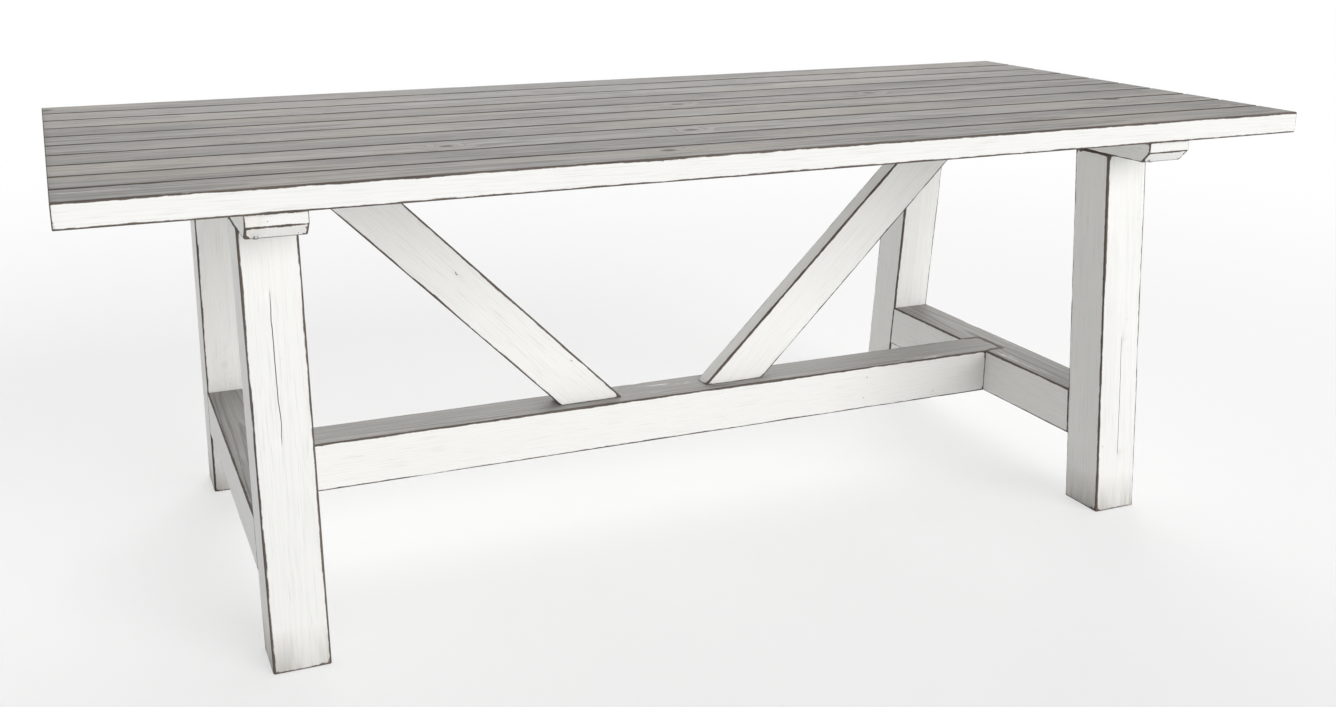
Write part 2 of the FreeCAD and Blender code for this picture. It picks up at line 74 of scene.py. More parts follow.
# Directions in the frame
RIGHT = Vector((1, 0, 0))
BACK = Vector((0, 1, 0))
UP = Vector((0, 0, 1))
X_AXIS = 0
Y_AXIS = 1

# Places this near count as one place, and vertices as one vertex, in metres
NEAR = 0.0005
WELD = NEAR / 50

# How far a cutter reaches past a face, and the room that keeps two faces out of one plane
PAST = 2 * NEAR
HAIR = NEAR / 2

# The picture in pixels, and the camera's sensor in millimetres
IMAGE_WIDTH = 1336
IMAGE_HEIGHT = 707
SENSOR_WIDTH = 36.0


# Settings that a user would change


class TimberSettings(bpy.types.PropertyGroup):
    """How the timbers are shaped and worn."""

    edge_radius: FloatProperty(
        name="Edge radius",
        description="Rounding of the long edges",
        default=0.003,
        min=0.0005,
        unit="LENGTH",
    )
    edge_unevenness: FloatProperty(
        name="Edge unevenness",
        description="How much the rounding comes and goes along an edge",
        default=0.0012,
        unit="LENGTH",
    )
    end_radius: FloatProperty(
        name="End radius",
        description="Rounding of the edges round the sawn ends",
        default=0.0018,
        min=0.0002,
        unit="LENGTH",
    )
    step: FloatProperty(
        name="Step",
        description="Spacing of the rings that a timber's mesh is made of",
        default=0.010,
        min=0.002,
        unit="LENGTH",
    )
    nick_spacing: FloatProperty(
        name="Nick spacing",
        description="Length of edge for each small dent in it",
        default=0.9,
        min=0.05,
        unit="LENGTH",
    )
    nick_depth: FloatProperty(
        name="Nick depth",
        description="Deepest dent in an edge",
        default=0.0028,
        unit="LENGTH",
    )
    check_depth: FloatProperty(
        name="Check depth",
        description="Depth of the drying cracks at the ends of planks and along the posts",
        default=0.0032,
        unit="LENGTH",
    )


class FinishSettings(bpy.types.PropertyGroup):
    """Colours of the finishes, and how far the paint is worn, with the grey painted as shade on upward
    faces.
    """

    paint: FloatVectorProperty(
        name="Paint",
        description="White paint of the base and the rim of the top",
        subtype="COLOR",
        default=(0.83, 0.825, 0.805),
        min=0.0,
        max=1.0,
    )
    stain: FloatVectorProperty(
        name="Stain",
        description="Dark stained timber under the paint, seen along rubbed edges",
        subtype="COLOR",
        default=(0.060, 0.047, 0.038),
        min=0.0,
        max=1.0,
    )
    # Also the grey painted on upward faces: on the planks partly a finish and partly painted shade, on the
    # stretchers partly shoe wear and partly painted shade
    wash: FloatVectorProperty(
        name="Grey wash",
        description="Pale early wood of the grey-washed planks",
        subtype="COLOR",
        default=(0.375, 0.366, 0.352),
        min=0.0,
        max=1.0,
    )
    late_wood: FloatVectorProperty(
        name="Late wood",
        description="Dark growth rings and fibres of the grey-washed planks",
        subtype="COLOR",
        default=(0.18, 0.171, 0.16),
        min=0.0,
        max=1.0,
    )
    warmth: FloatVectorProperty(
        name="Warmth",
        description="Timber that shows through the grey wash in places",
        subtype="COLOR",
        default=(0.36, 0.31, 0.25),
        min=0.0,
        max=1.0,
    )
    knot: FloatVectorProperty(
        name="Knot",
        description="Heart of a knot",
        subtype="COLOR",
        default=(0.075, 0.062, 0.052),
        min=0.0,
        max=1.0,
    )
    resin: FloatVectorProperty(
        name="Resin",
        description="Stain of a knot that bleeds through the paint",
        subtype="COLOR",
        default=(0.52, 0.43, 0.30),
        min=0.0,
        max=1.0,
    )
    grime: FloatVectorProperty(
        name="Grime",
        description="Floor dirt on the feet",
        subtype="COLOR",
        default=(0.30, 0.275, 0.24),
        min=0.0,
        max=1.0,
    )
    rub_width: FloatProperty(
        name="Rub width",
        description="How far paint is rubbed back from an edge",
        default=0.0034,
        unit="LENGTH",
    )
    scuff_height: FloatProperty(
        name="Scuff height",
        description="How high above the floor the feet are scuffed",
        default=0.07,
        min=0.001,
        unit="LENGTH",
    )
    # Also how much of the stretchers' upper faces is painted grey as shade of the upward faces, besides
    # shoe wear
    foot_wear_and_shade: FloatProperty(
        name="Foot wear",
        description="Share of the stretchers' upper faces where shoes have worn the paint away",
        subtype="FACTOR",
        default=0.95,
        min=0.0,
        max=1.0,
    )
    ring_pitch: FloatProperty(
        name="Ring pitch",
        description="Width of one growth ring",
        default=0.0052,
        min=0.001,
        unit="LENGTH",
    )
    steel: FloatVectorProperty(
        name="Steel",
        description="Zinc-plated screws",
        subtype="COLOR",
        default=(0.36, 0.36, 0.365),
        min=0.0,
        max=1.0,
    )
    tarnish: FloatVectorProperty(
        name="Tarnish",
        description="Dull spots on the screws",
        subtype="COLOR",
        default=(0.15, 0.145, 0.14),
        min=0.0,
        max=1.0,
    )


class ScrewSettings(bpy.types.PropertyGroup):
    """The screws seen from below, and the holes that they sit in."""

    drive: FloatProperty(
        name="Drive",
        description="Half the width of the square drive, as a share of the head's radius",
        subtype="FACTOR",
        default=0.34,
        min=0.1,
        max=0.6,
    )
    mouth_room: FloatProperty(
        name="Mouth room",
        description="Room round a head at the mouth of its countersink",
        default=0.0007,
        unit="LENGTH",
    )
    well_room: FloatProperty(
        name="Well room",
        description="Room round a head that is set at the bottom of a well",
        default=0.0017,
        unit="LENGTH",
    )
    thread_pitch: FloatProperty(
        name="Thread pitch",
        description="Spacing of the thread's ridges",
        default=0.0028,
        min=0.0005,
        unit="LENGTH",
    )
    facets: IntProperty(
        name="Facets",
        description="Facets round a screw, a multiple of eight",
        default=24,
        min=8,
    )


class StageSettings(bpy.types.PropertyGroup):
    """Camera, lamps, floor and background."""

    camera_place: FloatVectorProperty(
        name="Camera place",
        description="Where the camera stands",
        subtype="TRANSLATION",
        unit="LENGTH",
        default=(-1.05443, -2.34974, 1.13086),
    )
    camera_pan: FloatProperty(
        name="Camera pan",
        description="How far the camera is turned to the right of straight ahead",
        subtype="ANGLE",
        default=math.radians(22.158),
    )
    camera_tilt: FloatProperty(
        name="Camera tilt",
        description="How far the camera looks down",
        subtype="ANGLE",
        default=math.radians(15.751),
    )
    focal_pixels: FloatProperty(
        name="Focal length",
        description="Focal length in pixels of the picture",
        subtype="PIXEL",
        default=1390.87,
        min=1.0,
    )
    axis_pixel: FloatVectorProperty(
        name="Axis pixel",
        description="Pixel of the picture that the camera points at",
        subtype="COORDINATES",
        size=2,
        default=(614.35, 295.20),
    )
    floor: FloatVectorProperty(
        name="Floor",
        description="Pale studio floor",
        subtype="COLOR",
        default=(0.97, 0.97, 0.97),
        min=0.0,
        max=1.0,
    )
    floor_lift: FloatProperty(
        name="Floor lift",
        description="How far the floor near the table is lifted to the white of the background",
        subtype="FACTOR",
        default=0.52,
        min=0.0,
        max=1.0,
    )
    ambient: FloatProperty(
        name="Ambient",
        description="Strength of the even light from all round",
        default=0.42,
        min=0.0,
    )
    key_strength: FloatProperty(
        name="Key light",
        description="Strength of the wide soft light from the front",
        default=2.3,
        min=0.0,
    )
    rear_strength: FloatProperty(
        name="Rear light",
        description="Strength of the wide soft light from behind",
        default=1.8,
        min=0.0,
    )
    softness: FloatProperty(
        name="Softness",
        description="How wide the lights look from the table",
        subtype="ANGLE",
        default=math.radians(50),
    )


# Shader writing


Pattern = namedtuple("Pattern", "along across detail roughness", defaults=(2.0, 0.5))


class Wire:
    """An output socket of a finish: an expression on wires adds its Math nodes."""

    def __init__(self, finish, socket):
        self.finish = finish
        self.socket = socket

    def also(self, output):
        """Another output of the node that this wire comes from."""
        return Wire(self.finish, self.socket.node.outputs[output])

    def maths(self, operation, first, second=0.0):
        """A Math node on one or two values."""
        return self.finish.node("Math", {"operation": operation}, {0: first, 1: second})

    def __add__(self, other):
        return self.maths("ADD", self, other)

    def __radd__(self, other):
        return self.maths("ADD", other, self)

    def __sub__(self, other):
        return self.maths("SUBTRACT", self, other)

    def __rsub__(self, other):
        return self.maths("SUBTRACT", other, self)

    def __mul__(self, other):
        return self.maths("MULTIPLY", self, other)

    def __rmul__(self, other):
        return self.maths("MULTIPLY", other, self)

    def __truediv__(self, other):
        return self.maths("DIVIDE", self, other)

    def __rtruediv__(self, other):
        return self.maths("DIVIDE", other, self)

    def __pow__(self, other):
        return self.maths("POWER", self, other)

    def __lt__(self, other):
        return self.maths("LESS_THAN", self, other)

    def __mod__(self, other):
        return self.maths("FLOORED_MODULO", self, other)

    def at_most(self, other):
        return self.maths("MINIMUM", self, other)

    def at_least(self, other):
        return self.maths("MAXIMUM", self, other)

    def exponent(self):
        return self.maths("EXPONENT", self)

    def rise(self, low, high):
        """0 below low and 1 above high, with a smooth rise between them."""
        settings = {"interpolation_type": "SMOOTHSTEP"}
        return self.finish.node("MapRange", settings, {"Value": self, "From Min": low, "From Max": high})


class Finish:
    """A node tree being written, and the one way to add a node to it."""

    def __init__(self, tree):
        self.tree = tree
        self.tree.nodes.clear()

    def node(self, kind, settings, inputs, output=0):
        """Adds a node, sets it, feeds its sockets with values or wires and returns one output."""
        made = self.tree.nodes.new(f"ShaderNode{kind}")
        for name, value in settings.items():
            if name == "stops":
                self.set_stops(made.color_ramp, value)
            else:
                setattr(made, name, value)
        for name, value in inputs.items():
            if isinstance(value, Wire):
                self.tree.links.new(value.socket, made.inputs[name])
            else:
                made.inputs[name].default_value = value
        return Wire(self, made.outputs[output]) if made.outputs else None

    def set_stops(self, ramp, stops):
        """Grey stops of a ramp, from (place, brightness) pairs."""
        while len(ramp.elements) < len(stops):
            ramp.elements.new(1.0)
        for element, (place, brightness) in zip(ramp.elements, stops):
            element.position = place
            element.color = (brightness, brightness, brightness, 1.0)

    def attribute(self, name, output="Fac"):
        """What the mesh stores under that name."""
        return self.node("Attribute", {"attribute_name": name}, {}, output)

    def vector(self, operation, first, second):
        """A Vector Math node on two vectors."""
        return self.node("VectorMath", {"operation": operation}, {0: first, 1: second})

    def length(self, vector):
        return self.node("VectorMath", {"operation": "LENGTH"}, {0: vector}, "Value")

    def noise(self, place, pattern):
        """Noise at a place, stretched to the pattern's repeats along and across the grain."""
        inputs = {
            "Vector": self.vector("MULTIPLY", place, (pattern.along, pattern.across, pattern.across)),
            "Scale": 1.0,
            "Detail": pattern.detail,
            "Roughness": pattern.roughness,
        }
        return self.node("TexNoise", {"noise_dimensions": "3D"}, inputs)

    def mix(self, factor, first, second, blend="MIX"):
        """Two colours mixed."""
        settings = {"data_type": "RGBA", "blend_type": blend}
        return self.node("Mix", settings, {0: factor, 6: first, 7: second}, 2)

    def bump(self, relief, strength, distance):
        """The surface's normal over a relief."""
        inputs = {"Height": relief, "Strength": strength, "Distance": distance}
        return self.node("Bump", {}, inputs, "Normal")

    def surface(self, inputs):
        """The finish's shader, joined to its output."""
        shader = self.node("BsdfPrincipled", {}, inputs)
        self.node("OutputMaterial", {}, {"Surface": shader})


def opaque(colour):
    """A colour with its alpha."""
    return (*colour, 1.0)


def named_material(name):
    """The material of that name, and whether it has still to be written."""
    found = bpy.data.materials.get(name)
    if found:
        return found, False
    made = bpy.data.materials.new(name)
    made.use_nodes = True
    return made, True


# Finishes


Wood = namedtuple("Wood", "grain late streak pores knot knot_rim")

# Patterns of noise, in repeats to the metre along and across the grain
KNOT_OUTLINES = Pattern(90.0, 160.0)
RING_WAVES = Pattern(1.5, 7.0)
RING_RIPPLES = Pattern(5.0, 60.0)
FIBRES = Pattern(7.0, 420.0, detail=4.0, roughness=0.62)
PORES = Pattern(14.0, 640.0)
WASH_CLOUDS = Pattern(2.2, 12.0, detail=3.0)
STAIN_EDGES = Pattern(28.0, 40.0)
RUB_PATCHES = Pattern(9.0, 55.0, detail=3.0, roughness=0.6)
FINE_WEAR = Pattern(60.0, 260.0, detail=3.0, roughness=0.65)
LONG_WEAR = Pattern(3.2, 26.0, detail=4.0, roughness=0.62)
CHIPS = Pattern(38.0, 120.0, detail=3.0, roughness=0.6)
BRUSH_MARKS = Pattern(4.0, 300.0, detail=3.0, roughness=0.55)
PAINT_CLOUDS = Pattern(3.0, 9.0, detail=3.0)
TARNISH_SPOTS = Pattern(260.0, 260.0, detail=3.0)
TURNING_MARKS = Pattern(900.0, 900.0)

# Middle of a noise, about which it wanders
MEAN = 0.5

# Values of a noise, or of how far up a face looks, where a thing starts to show and shows in full
FIBRE_SHOWS = (0.30, 0.72)
PORE_SHOWS = (0.57, 0.69)
WARMTH_SHOWS = (0.45, 0.70)
# Noise limits of shoe wear, which also spread the painted shade over upward faces
TRODDEN_AND_SHADE_SHOWS = (0.26, 0.38)
CHIP_SHOWS = (0.745, 0.765)
SCUFF_SHOWS = (0.38, 0.60)
TARNISH_SHOWS = (0.45, 0.75)
# Facing limits of shoe wear and of the grey painted as shade on upward faces
SHOE_AND_SHADE_FACING = (0.86, 0.97)

# Knots, in cells of the trunk, with sizes in metres and spans in radii of the knot
KNOT_CELL = (0.46, 0.105, 0.50)
KNOT_SHAPE = (0.62, 1.0, 0.10)
KNOT_SCATTER = 0.85
KNOT_SHARE = 0.42
LEAST_KNOT = 0.006
KNOT_RANGE = 0.009
KNOT_RAGGEDNESS = 0.5
KNOT_ENDS = (0.75, 1.05)
KNOT_RIM_STARTS = (0.55, 0.95)
KNOT_RIM_ENDS = (1.0, 1.5)

# Growth rings: how they shift, in metres, and how dark each part of one is
TRUNK_TAPER = 0.011
RING_WANDER = 0.016
RING_RIPPLE = 0.0016
SWIRL_SHIFT = 0.016
SWIRL_FALL = 0.16
RING_STOPS = ((0.0, 0.05), (0.45, 0.12), (0.80, 0.72), (0.92, 1.0), (0.97, 0.45), (1.0, 0.05))


def solid_wood(finish, pitch):
    """Growth rings round a heart line, fibres, pores and knots, all through the timber."""
    grain = finish.attribute("grain", "Vector")

    # Knots, no more than one in a cell
    cells = tuple(1 / size for size in KNOT_CELL)
    shape = tuple(size * squeeze for size, squeeze in zip(KNOT_CELL, KNOT_SHAPE))
    cell_place = finish.vector("MULTIPLY", grain, cells)
    cell = finish.node(
        "TexVoronoi",
        {"voronoi_dimensions": "3D", "feature": "F1"},
        {"Vector": cell_place, "Scale": 1.0, "Randomness": KNOT_SCATTER},
        "Position",
    )
    offset = finish.vector("MULTIPLY", finish.vector("SUBTRACT", cell_place, cell), shape)
    dice = finish.node("SeparateColor", {}, {"Color": cell.also("Color")}, "Red")
    present = dice < KNOT_SHARE
    size = dice.also("Green") * KNOT_RANGE + LEAST_KNOT
    ragged = (finish.noise(grain, KNOT_OUTLINES) - MEAN) * KNOT_RAGGEDNESS + 1
    span = finish.length(offset) * ragged / size
    knot = present * (1 - span.rise(*KNOT_ENDS))
    knot_rim = present * (span.rise(*KNOT_RIM_STARTS) * (1 - span.rise(*KNOT_RIM_ENDS)))

    # Growth rings, which bend round the knots
    along = finish.node("SeparateXYZ", {}, {"Vector": grain}, "X")
    across = along.also("Y")
    deep = along.also("Z")
    radius = (across * across + deep * deep) ** 0.5
    wander = (finish.noise(grain, RING_WAVES) - MEAN) * RING_WANDER
    ripple = (finish.noise(grain, RING_RIPPLES) - MEAN) * RING_RIPPLE
    swirl = present * (0 - span * span * SWIRL_FALL).exponent() * SWIRL_SHIFT
    age = radius + along * TRUNK_TAPER + wander + ripple + swirl
    late = finish.node("ValToRGB", {"stops": RING_STOPS}, {"Fac": (age / pitch) % 1.0})

    streak = finish.noise(grain, FIBRES).rise(*FIBRE_SHOWS)
    pores = finish.noise(grain, PORES).rise(*PORE_SHOWS)
    return Wood(grain, late, streak, pores, knot, knot_rim)


# How far from an edge the grey wash is stained, and how far that wanders, in metres
STAIN_ENDS = (0.0012, 0.0048)
STAIN_WANDER = 0.003


def grey_wash_and_top_shade(settings):
    """Grey-washed plank: pale early wood, dark rings and knots, darker along the edges. Its grey is partly
    the finish and partly painted shade of the top's upward faces.
    """
    made, fresh = named_material("grey_washed_plank")
    if not fresh:
        return made
    finish = Finish(made.node_tree)
    wood = solid_wood(finish, settings.ring_pitch)
    tone = finish.attribute("tone")
    arris = finish.attribute("arris")
    darkness = (wood.late * 0.58 + wood.streak * 0.42 + wood.pores * 0.60).at_most(1.0)
    planed = finish.mix(darkness, opaque(settings.wash), opaque(settings.late_wood))
    cloud = finish.noise(wood.grain, WASH_CLOUDS)
    shade = 0.80 + cloud * 0.40 + tone * 0.15
    shaded = finish.mix(1.0, planed, shade, "MULTIPLY")
    warmed = finish.mix(0.35 * cloud.rise(*WARMTH_SHOWS), shaded, opaque(settings.warmth))
    knots = (wood.knot * 0.72 + wood.knot_rim * 0.6).at_most(0.92)
    knotted = finish.mix(knots, warmed, opaque(settings.knot))
    wander = (finish.noise(wood.grain, STAIN_EDGES) - MEAN) * STAIN_WANDER
    edge = 1 - (arris + wander).rise(*STAIN_ENDS)
    relief = wood.late * 0.5 + wood.streak * 0.35 - wood.pores * 0.5 - wood.knot_rim * 0.3
    finish.surface(
        {
            "Base Color": finish.mix(edge * 0.80, knotted, opaque(settings.stain)),
            "Roughness": 0.72 + wood.streak * 0.12 + wood.pores * 0.15 - cloud * 0.10,
            "Normal": finish.bump(relief, strength=0.55, distance=0.0005),
            "Specular IOR Level": 0.15,
        }
    )
    return made


# Where a rub ends and how far patches shift it, in rub widths, and the noise that shifts it by none
RUB_ENDS = (0.66, 0.98)
PATCH_RUB = 1.7
PATCH_MEAN = 0.42

# How far the limits of shoe wear and painted shade move from full wear to none, and how much paler early
# wood stains
SHOE_AND_SHADE_RANGE = 0.28
PALE_STAIN = 2.2


def white_paint(settings):
    """White paint, rubbed through along the edges, scuffed at the feet and grey on upward faces, partly
    worn by shoes and partly painted shade.
    """
    made, fresh = named_material("rubbed_white_paint")
    if not fresh:
        return made
    finish = Finish(made.node_tree)
    wood = solid_wood(finish, settings.ring_pitch)
    tone = finish.attribute("tone")
    arris = finish.attribute("arris")
    height = finish.attribute("height")
    bare = finish.attribute("bare")
    # How far up a face looks: upward faces are painted grey, partly as shoe wear and partly as shade
    facing = finish.node("TexCoord", {}, {}, "Normal")
    upward = finish.node("SeparateXYZ", {}, {"Vector": facing}, "Z")

    # Where the paint is gone, with the upward faces also greyed as painted shade
    patches = finish.noise(wood.grain, RUB_PATCHES)
    fine = finish.noise(wood.grain, FINE_WEAR)
    long_patches = finish.noise(wood.grain, LONG_WEAR)
    rub = settings.rub_width
    inside = arris - (patches - PATCH_MEAN) * rub * PATCH_RUB - (fine - MEAN) * rub
    rubbed = 1 - inside.rise(*(rub * end for end in RUB_ENDS))
    spared = SHOE_AND_SHADE_RANGE * (1 - settings.foot_wear_and_shade)
    trodden_and_shaded = (long_patches * 0.8 + fine * 0.2).rise(*(spared + end for end in TRODDEN_AND_SHADE_SHOWS))
    shoe_wear_and_shade = upward.rise(*SHOE_AND_SHADE_FACING) * trodden_and_shaded
    chips = finish.noise(wood.grain, CHIPS).rise(*CHIP_SHOWS)
    # Worn paint, including the upward faces painted grey as shade
    worn = rubbed.at_least(shoe_wear_and_shade).at_least(chips).at_least(bare)

    # Timber under the paint, stained dark, and grey where shoes rest, a grey that also paints shade on the
    # upward faces
    dark = (wood.late * 0.6 + wood.streak * 0.5).at_most(1.0)
    pale_stain = [PALE_STAIN * part for part in settings.stain]
    stained = finish.mix(dark, opaque(pale_stain), opaque(settings.stain))
    worn_grey_and_shade = finish.mix(dark, opaque(settings.wash), opaque(settings.late_wood))
    timber = finish.mix(shoe_wear_and_shade * (1 - rubbed), stained, worn_grey_and_shade)

    # The coat of paint, with knots that bleed through it and dirt at the feet
    brush = finish.noise(wood.grain, BRUSH_MARKS)
    cloud = finish.noise(wood.grain, PAINT_CLOUDS)
    shade = 1.03 - wood.late * 0.035 - wood.pores * 0.10 - brush * 0.05 - cloud * 0.06 + tone * 0.015
    coat = finish.mix(1.0, opaque(settings.paint), shade, "MULTIPLY")
    bled = finish.mix(wood.knot * 0.10 + wood.knot_rim * 0.10, coat, opaque(settings.resin))
    low = (1 - height / settings.scuff_height).at_least(0.0)
    scuffs = low * (0.35 + long_patches.rise(*SCUFF_SHOWS) * 0.55)
    dirty = finish.mix(scuffs * 0.75, bled, opaque(settings.grime))

    coat_relief = (1 - worn) * 0.9 + brush * 0.22 + wood.late * 0.08
    relief = coat_relief - wood.pores * 0.3 + worn * wood.streak * 0.3
    finish.surface(
        {
            "Base Color": finish.mix(worn, dirty, timber),
            "Roughness": 0.46 + brush * 0.10 + worn * 0.18 + scuffs * 0.15,
            "Normal": finish.bump(relief, strength=0.45, distance=0.0004),
            "Specular IOR Level": 0.4,
        }
    )
    return made


def zinc_steel(settings):
    """Zinc-plated steel with a fine turned grain and a little tarnish."""
    made, fresh = named_material("zinc_plated_steel")
    if not fresh:
        return made
    finish = Finish(made.node_tree)
    place = finish.node("TexCoord", {}, {}, "Object")
    spots = finish.noise(place, TARNISH_SPOTS)
    turned = finish.noise(place, TURNING_MARKS)
    dull = spots.rise(*TARNISH_SHOWS) * 0.5
    finish.surface(
        {
            "Base Color": finish.mix(dull, opaque(settings.steel), opaque(settings.tarnish)),
            "Metallic": 1.0,
            "Roughness": 0.28 + spots * 0.25 + turned * 0.08,
            "Normal": finish.bump(turned, strength=0.25, distance=0.0001),
        }
    )
    return made


# Timber meshes


Check = namedtuple("Check", "side share place reach")
Nick = namedtuple("Nick", "corner place reach depth")
EdgeWave = namedtuple("EdgeWave", "repeats corner_step seed_step share")
Undercut = namedtuple("Undercut", "run rise")
Notch = namedtuple("Notch", "middle half inward")

# Sides of a section, counted from the upper one, and the points along a side and round a corner
SIDE_COUNT = 4
UPPER_SIDE = 0
UPRIGHT_SIDES = (1, 3)
SIDE_SHARES = (0.05, 0.20, 0.5, 0.80, 0.95)
ARC_STEPS = 4

# Least rounding of a corner as a share of its usual one, and most as a share of the section's depth
LEAST_ROUNDING = 0.1
MOST_ROUNDING = 0.45

# Rings round an end's edge, and over the end as shares of half its smaller side
END_STEPS = 3
CAP_SHARES = (0.97, 0.6, 0.3, 0.12)

# Room beside the ring at a break, in steps, and the angle from which an edge looks sharp
BREAK_ROOM = 0.4
SHARP_ANGLE = math.radians(40)

# Slow and quick unevenness of a long edge, in repeats to the metre
EDGE_WAVES = (EdgeWave(7.0, 13.0, 0.37, 1.0), EdgeWave(40.0, 17.0, 0.61, 0.35))

# Dents in long edges: their reach in metres, and their share of the deepest
NICK_REACH = (0.012, 0.035)
NICK_SHARE = (0.3, 1.0)

# Drying cracks: half their width in metres, and the room beside one in half widths
CHECK_HALF_WIDTH = 0.0008
CHECK_ROOM = 3

# Where they are, in shares of a side and of a post's length, and how far they reach in metres
PLANK_CHECK_CHANCE = 0.6
PLANK_CHECK_SHARE = (0.15, 0.45)
PLANK_CHECK_REACH = (0.05, 0.16)
FAR_HALF = 0.4
POST_CHECK_COUNT = 2
POST_CHECK_SHARE = (0.35, 0.65)
POST_CHECK_PLACE = (0.2, 0.8)
POST_CHECK_REACH = (0.09, 0.17)

# How many times a distance counts: over 1 an edge is rubbed less than a long edge, under 1 more
END_RUB = 2.0
FOOT_RUB = 1.2
BREAK_RUB = 3.5
LAP_RUB = 0.3

# A point deeper than this in a timber, and farther than this from its edges, is in a hole
HOLE_DEPTH = 0.0003
HOLE_CLEARANCE = 0.007

# The tree's heart line: its length, how far beside a timber in its widths, and how far off its face
TRUNK_LENGTH = 90.0
HEART_BESIDE = 0.45
HEART_BELOW = (0.010, 0.060)


@dataclass
class Timber:
    """A timber in its own axes: along, across and deep, from the middle of its first end.

    The slants are the lean of its two end cuts, and the undercut is cut from below both ends.
    Checks are drying cracks. Joints are the places of shoulders, a lap is the length of a tongue
    and a notch is cut from its upper side.
    """

    name: str
    node: str
    axes: Matrix
    length: float
    width: float
    depth: float
    slants: tuple = (0.0, 0.0)
    undercut: Undercut = Undercut(0.0, 0.0)
    checks: tuple = ()
    joints: tuple = ()
    lap: float = 0.0
    notch: Notch = None
    end_rub: float = END_RUB

    @property
    def half_end(self):
        """Half the smaller side of an end."""
        return min(self.width, self.depth - self.undercut.rise) / 2

    def slant(self, along):
        """How far a cut leans along the timber, for each unit of depth."""
        share = along / self.length
        return self.slants[0] * (1 - share) + self.slants[1] * share

    def raised(self, along):
        """How far the undercut near an end lifts the lower face."""
        run, rise = self.undercut
        from_end = min(along, self.length - along)
        return rise * (1 - from_end / run) if run and from_end < run else 0.0


def node_points(node):
    """The vertices of a frame node."""
    return [vertex.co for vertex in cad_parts[node].data.vertices]


def span_at(node, axis, height):
    """The least and greatest place along an axis of a node's points at one height."""
    level = [point[axis] for point in node_points(node) if abs(point.z - height) < NEAR]
    return min(level), max(level)


def undercut_of(node):
    """The cut under a crosswise timber's ends."""
    low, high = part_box(node)
    flat = span_at(node, Y_AXIS, low.z)[1]
    end = [point.z for point in node_points(node) if high.y - point.y < NEAR]
    return Undercut(high.y - flat, min(end) - low.z)


def axes_of(start, along, across, deep):
    """A matrix from a timber's own axes to the frame's."""
    return Matrix(
        (
            (along.x, across.x, deep.x, start.x),
            (along.y, across.y, deep.y, start.y),
            (along.z, across.z, deep.z, start.z),
            (0.0, 0.0, 0.0, 1.0),
        )
    )


def lengthwise(name, node):
    """A timber that runs from left to right."""
    low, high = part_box(node)
    middle = (low + high) / 2
    size = high - low
    axes = axes_of(Vector((low.x, middle.y, middle.z)), RIGHT, BACK, UP)
    return Timber(name, node, axes, size.x, size.y, size.z)


def crosswise(name, node):
    """A timber that runs from front to back, with its ends cut back below."""
    low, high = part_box(node)
    middle = (low + high) / 2
    size = high - low
    axes = axes_of(Vector((middle.x, low.y, middle.z)), BACK, RIGHT, UP)
    return Timber(name, node, axes, size.y, size.x, size.z, undercut=undercut_of(node))


def leaning(name, node, axis, head_height):
    """A timber that leans along the X or the Y axis, from its foot up to its head."""
    low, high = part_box(node)
    foot_span = span_at(node, axis, low.z)
    head_span = span_at(node, axis, head_height)
    foot = (low + high) / 2
    head = foot.copy()
    foot[axis] = sum(foot_span) / 2
    foot.z = low.z
    head[axis] = sum(head_span) / 2
    head.z = head_height
    along = (head - foot).normalized()
    across = RIGHT if axis == Y_AXIS else BACK
    deep = along.cross(across).normalized()
    slant = -deep.z / along.z
    width = (high - low).dot(across)
    depth = (foot_span[1] - foot_span[0]) * along.z
    axes = axes_of(foot, along, across, deep)
    return Timber(name, node, axes, (head - foot).length, width, depth, (slant, slant))


def plank_checks(timber):
    """Drying cracks at the ends of a plank, on opposite halves of its upper side."""
    draw = random.Random(timber.node)
    checks = []
    for half, end in ((0.0, 0.0), (FAR_HALF, timber.length)):
        if draw.random() < PLANK_CHECK_CHANCE:
            share = draw.uniform(*PLANK_CHECK_SHARE) + half
            checks.append(Check(UPPER_SIDE, share, end, draw.uniform(*PLANK_CHECK_REACH)))
    return tuple(checks)


def post_checks(timber):
    """Drying cracks along some sides of a post."""
    draw = random.Random(timber.node)
    checks = []
    for side in draw.sample(range(SIDE_COUNT), POST_CHECK_COUNT):
        share = draw.uniform(*POST_CHECK_SHARE)
        place = draw.uniform(*POST_CHECK_PLACE) * timber.length
        checks.append(Check(side, share, place, draw.uniform(*POST_CHECK_REACH)))
    return tuple(checks)


def side_places(timber, side):
    """Shares across one side of a section, with three close ones for each drying crack."""
    half = CHECK_HALF_WIDTH / (timber.depth if side in UPRIGHT_SIDES else timber.width)
    cracks = [check.share for check in timber.checks if check.side == side]
    room = CHECK_ROOM * half
    plain = [share for share in SIDE_SHARES if all(abs(share - crack) > room for crack in cracks)]
    beside = [crack + shift for crack in cracks for shift in (-half, half)]
    return sorted([(share, False) for share in plain + beside] + [(crack, True) for crack in cracks])


def crack_depth(timber, side, share, along, deepest):
    """How deep a drying crack is at one place along the timber."""
    found = 0.0
    for check in timber.checks:
        if check.side == side and check.share == share:
            away = (along - check.place) / check.reach
            found = max(found, deepest * (1 - away * away))
    return found


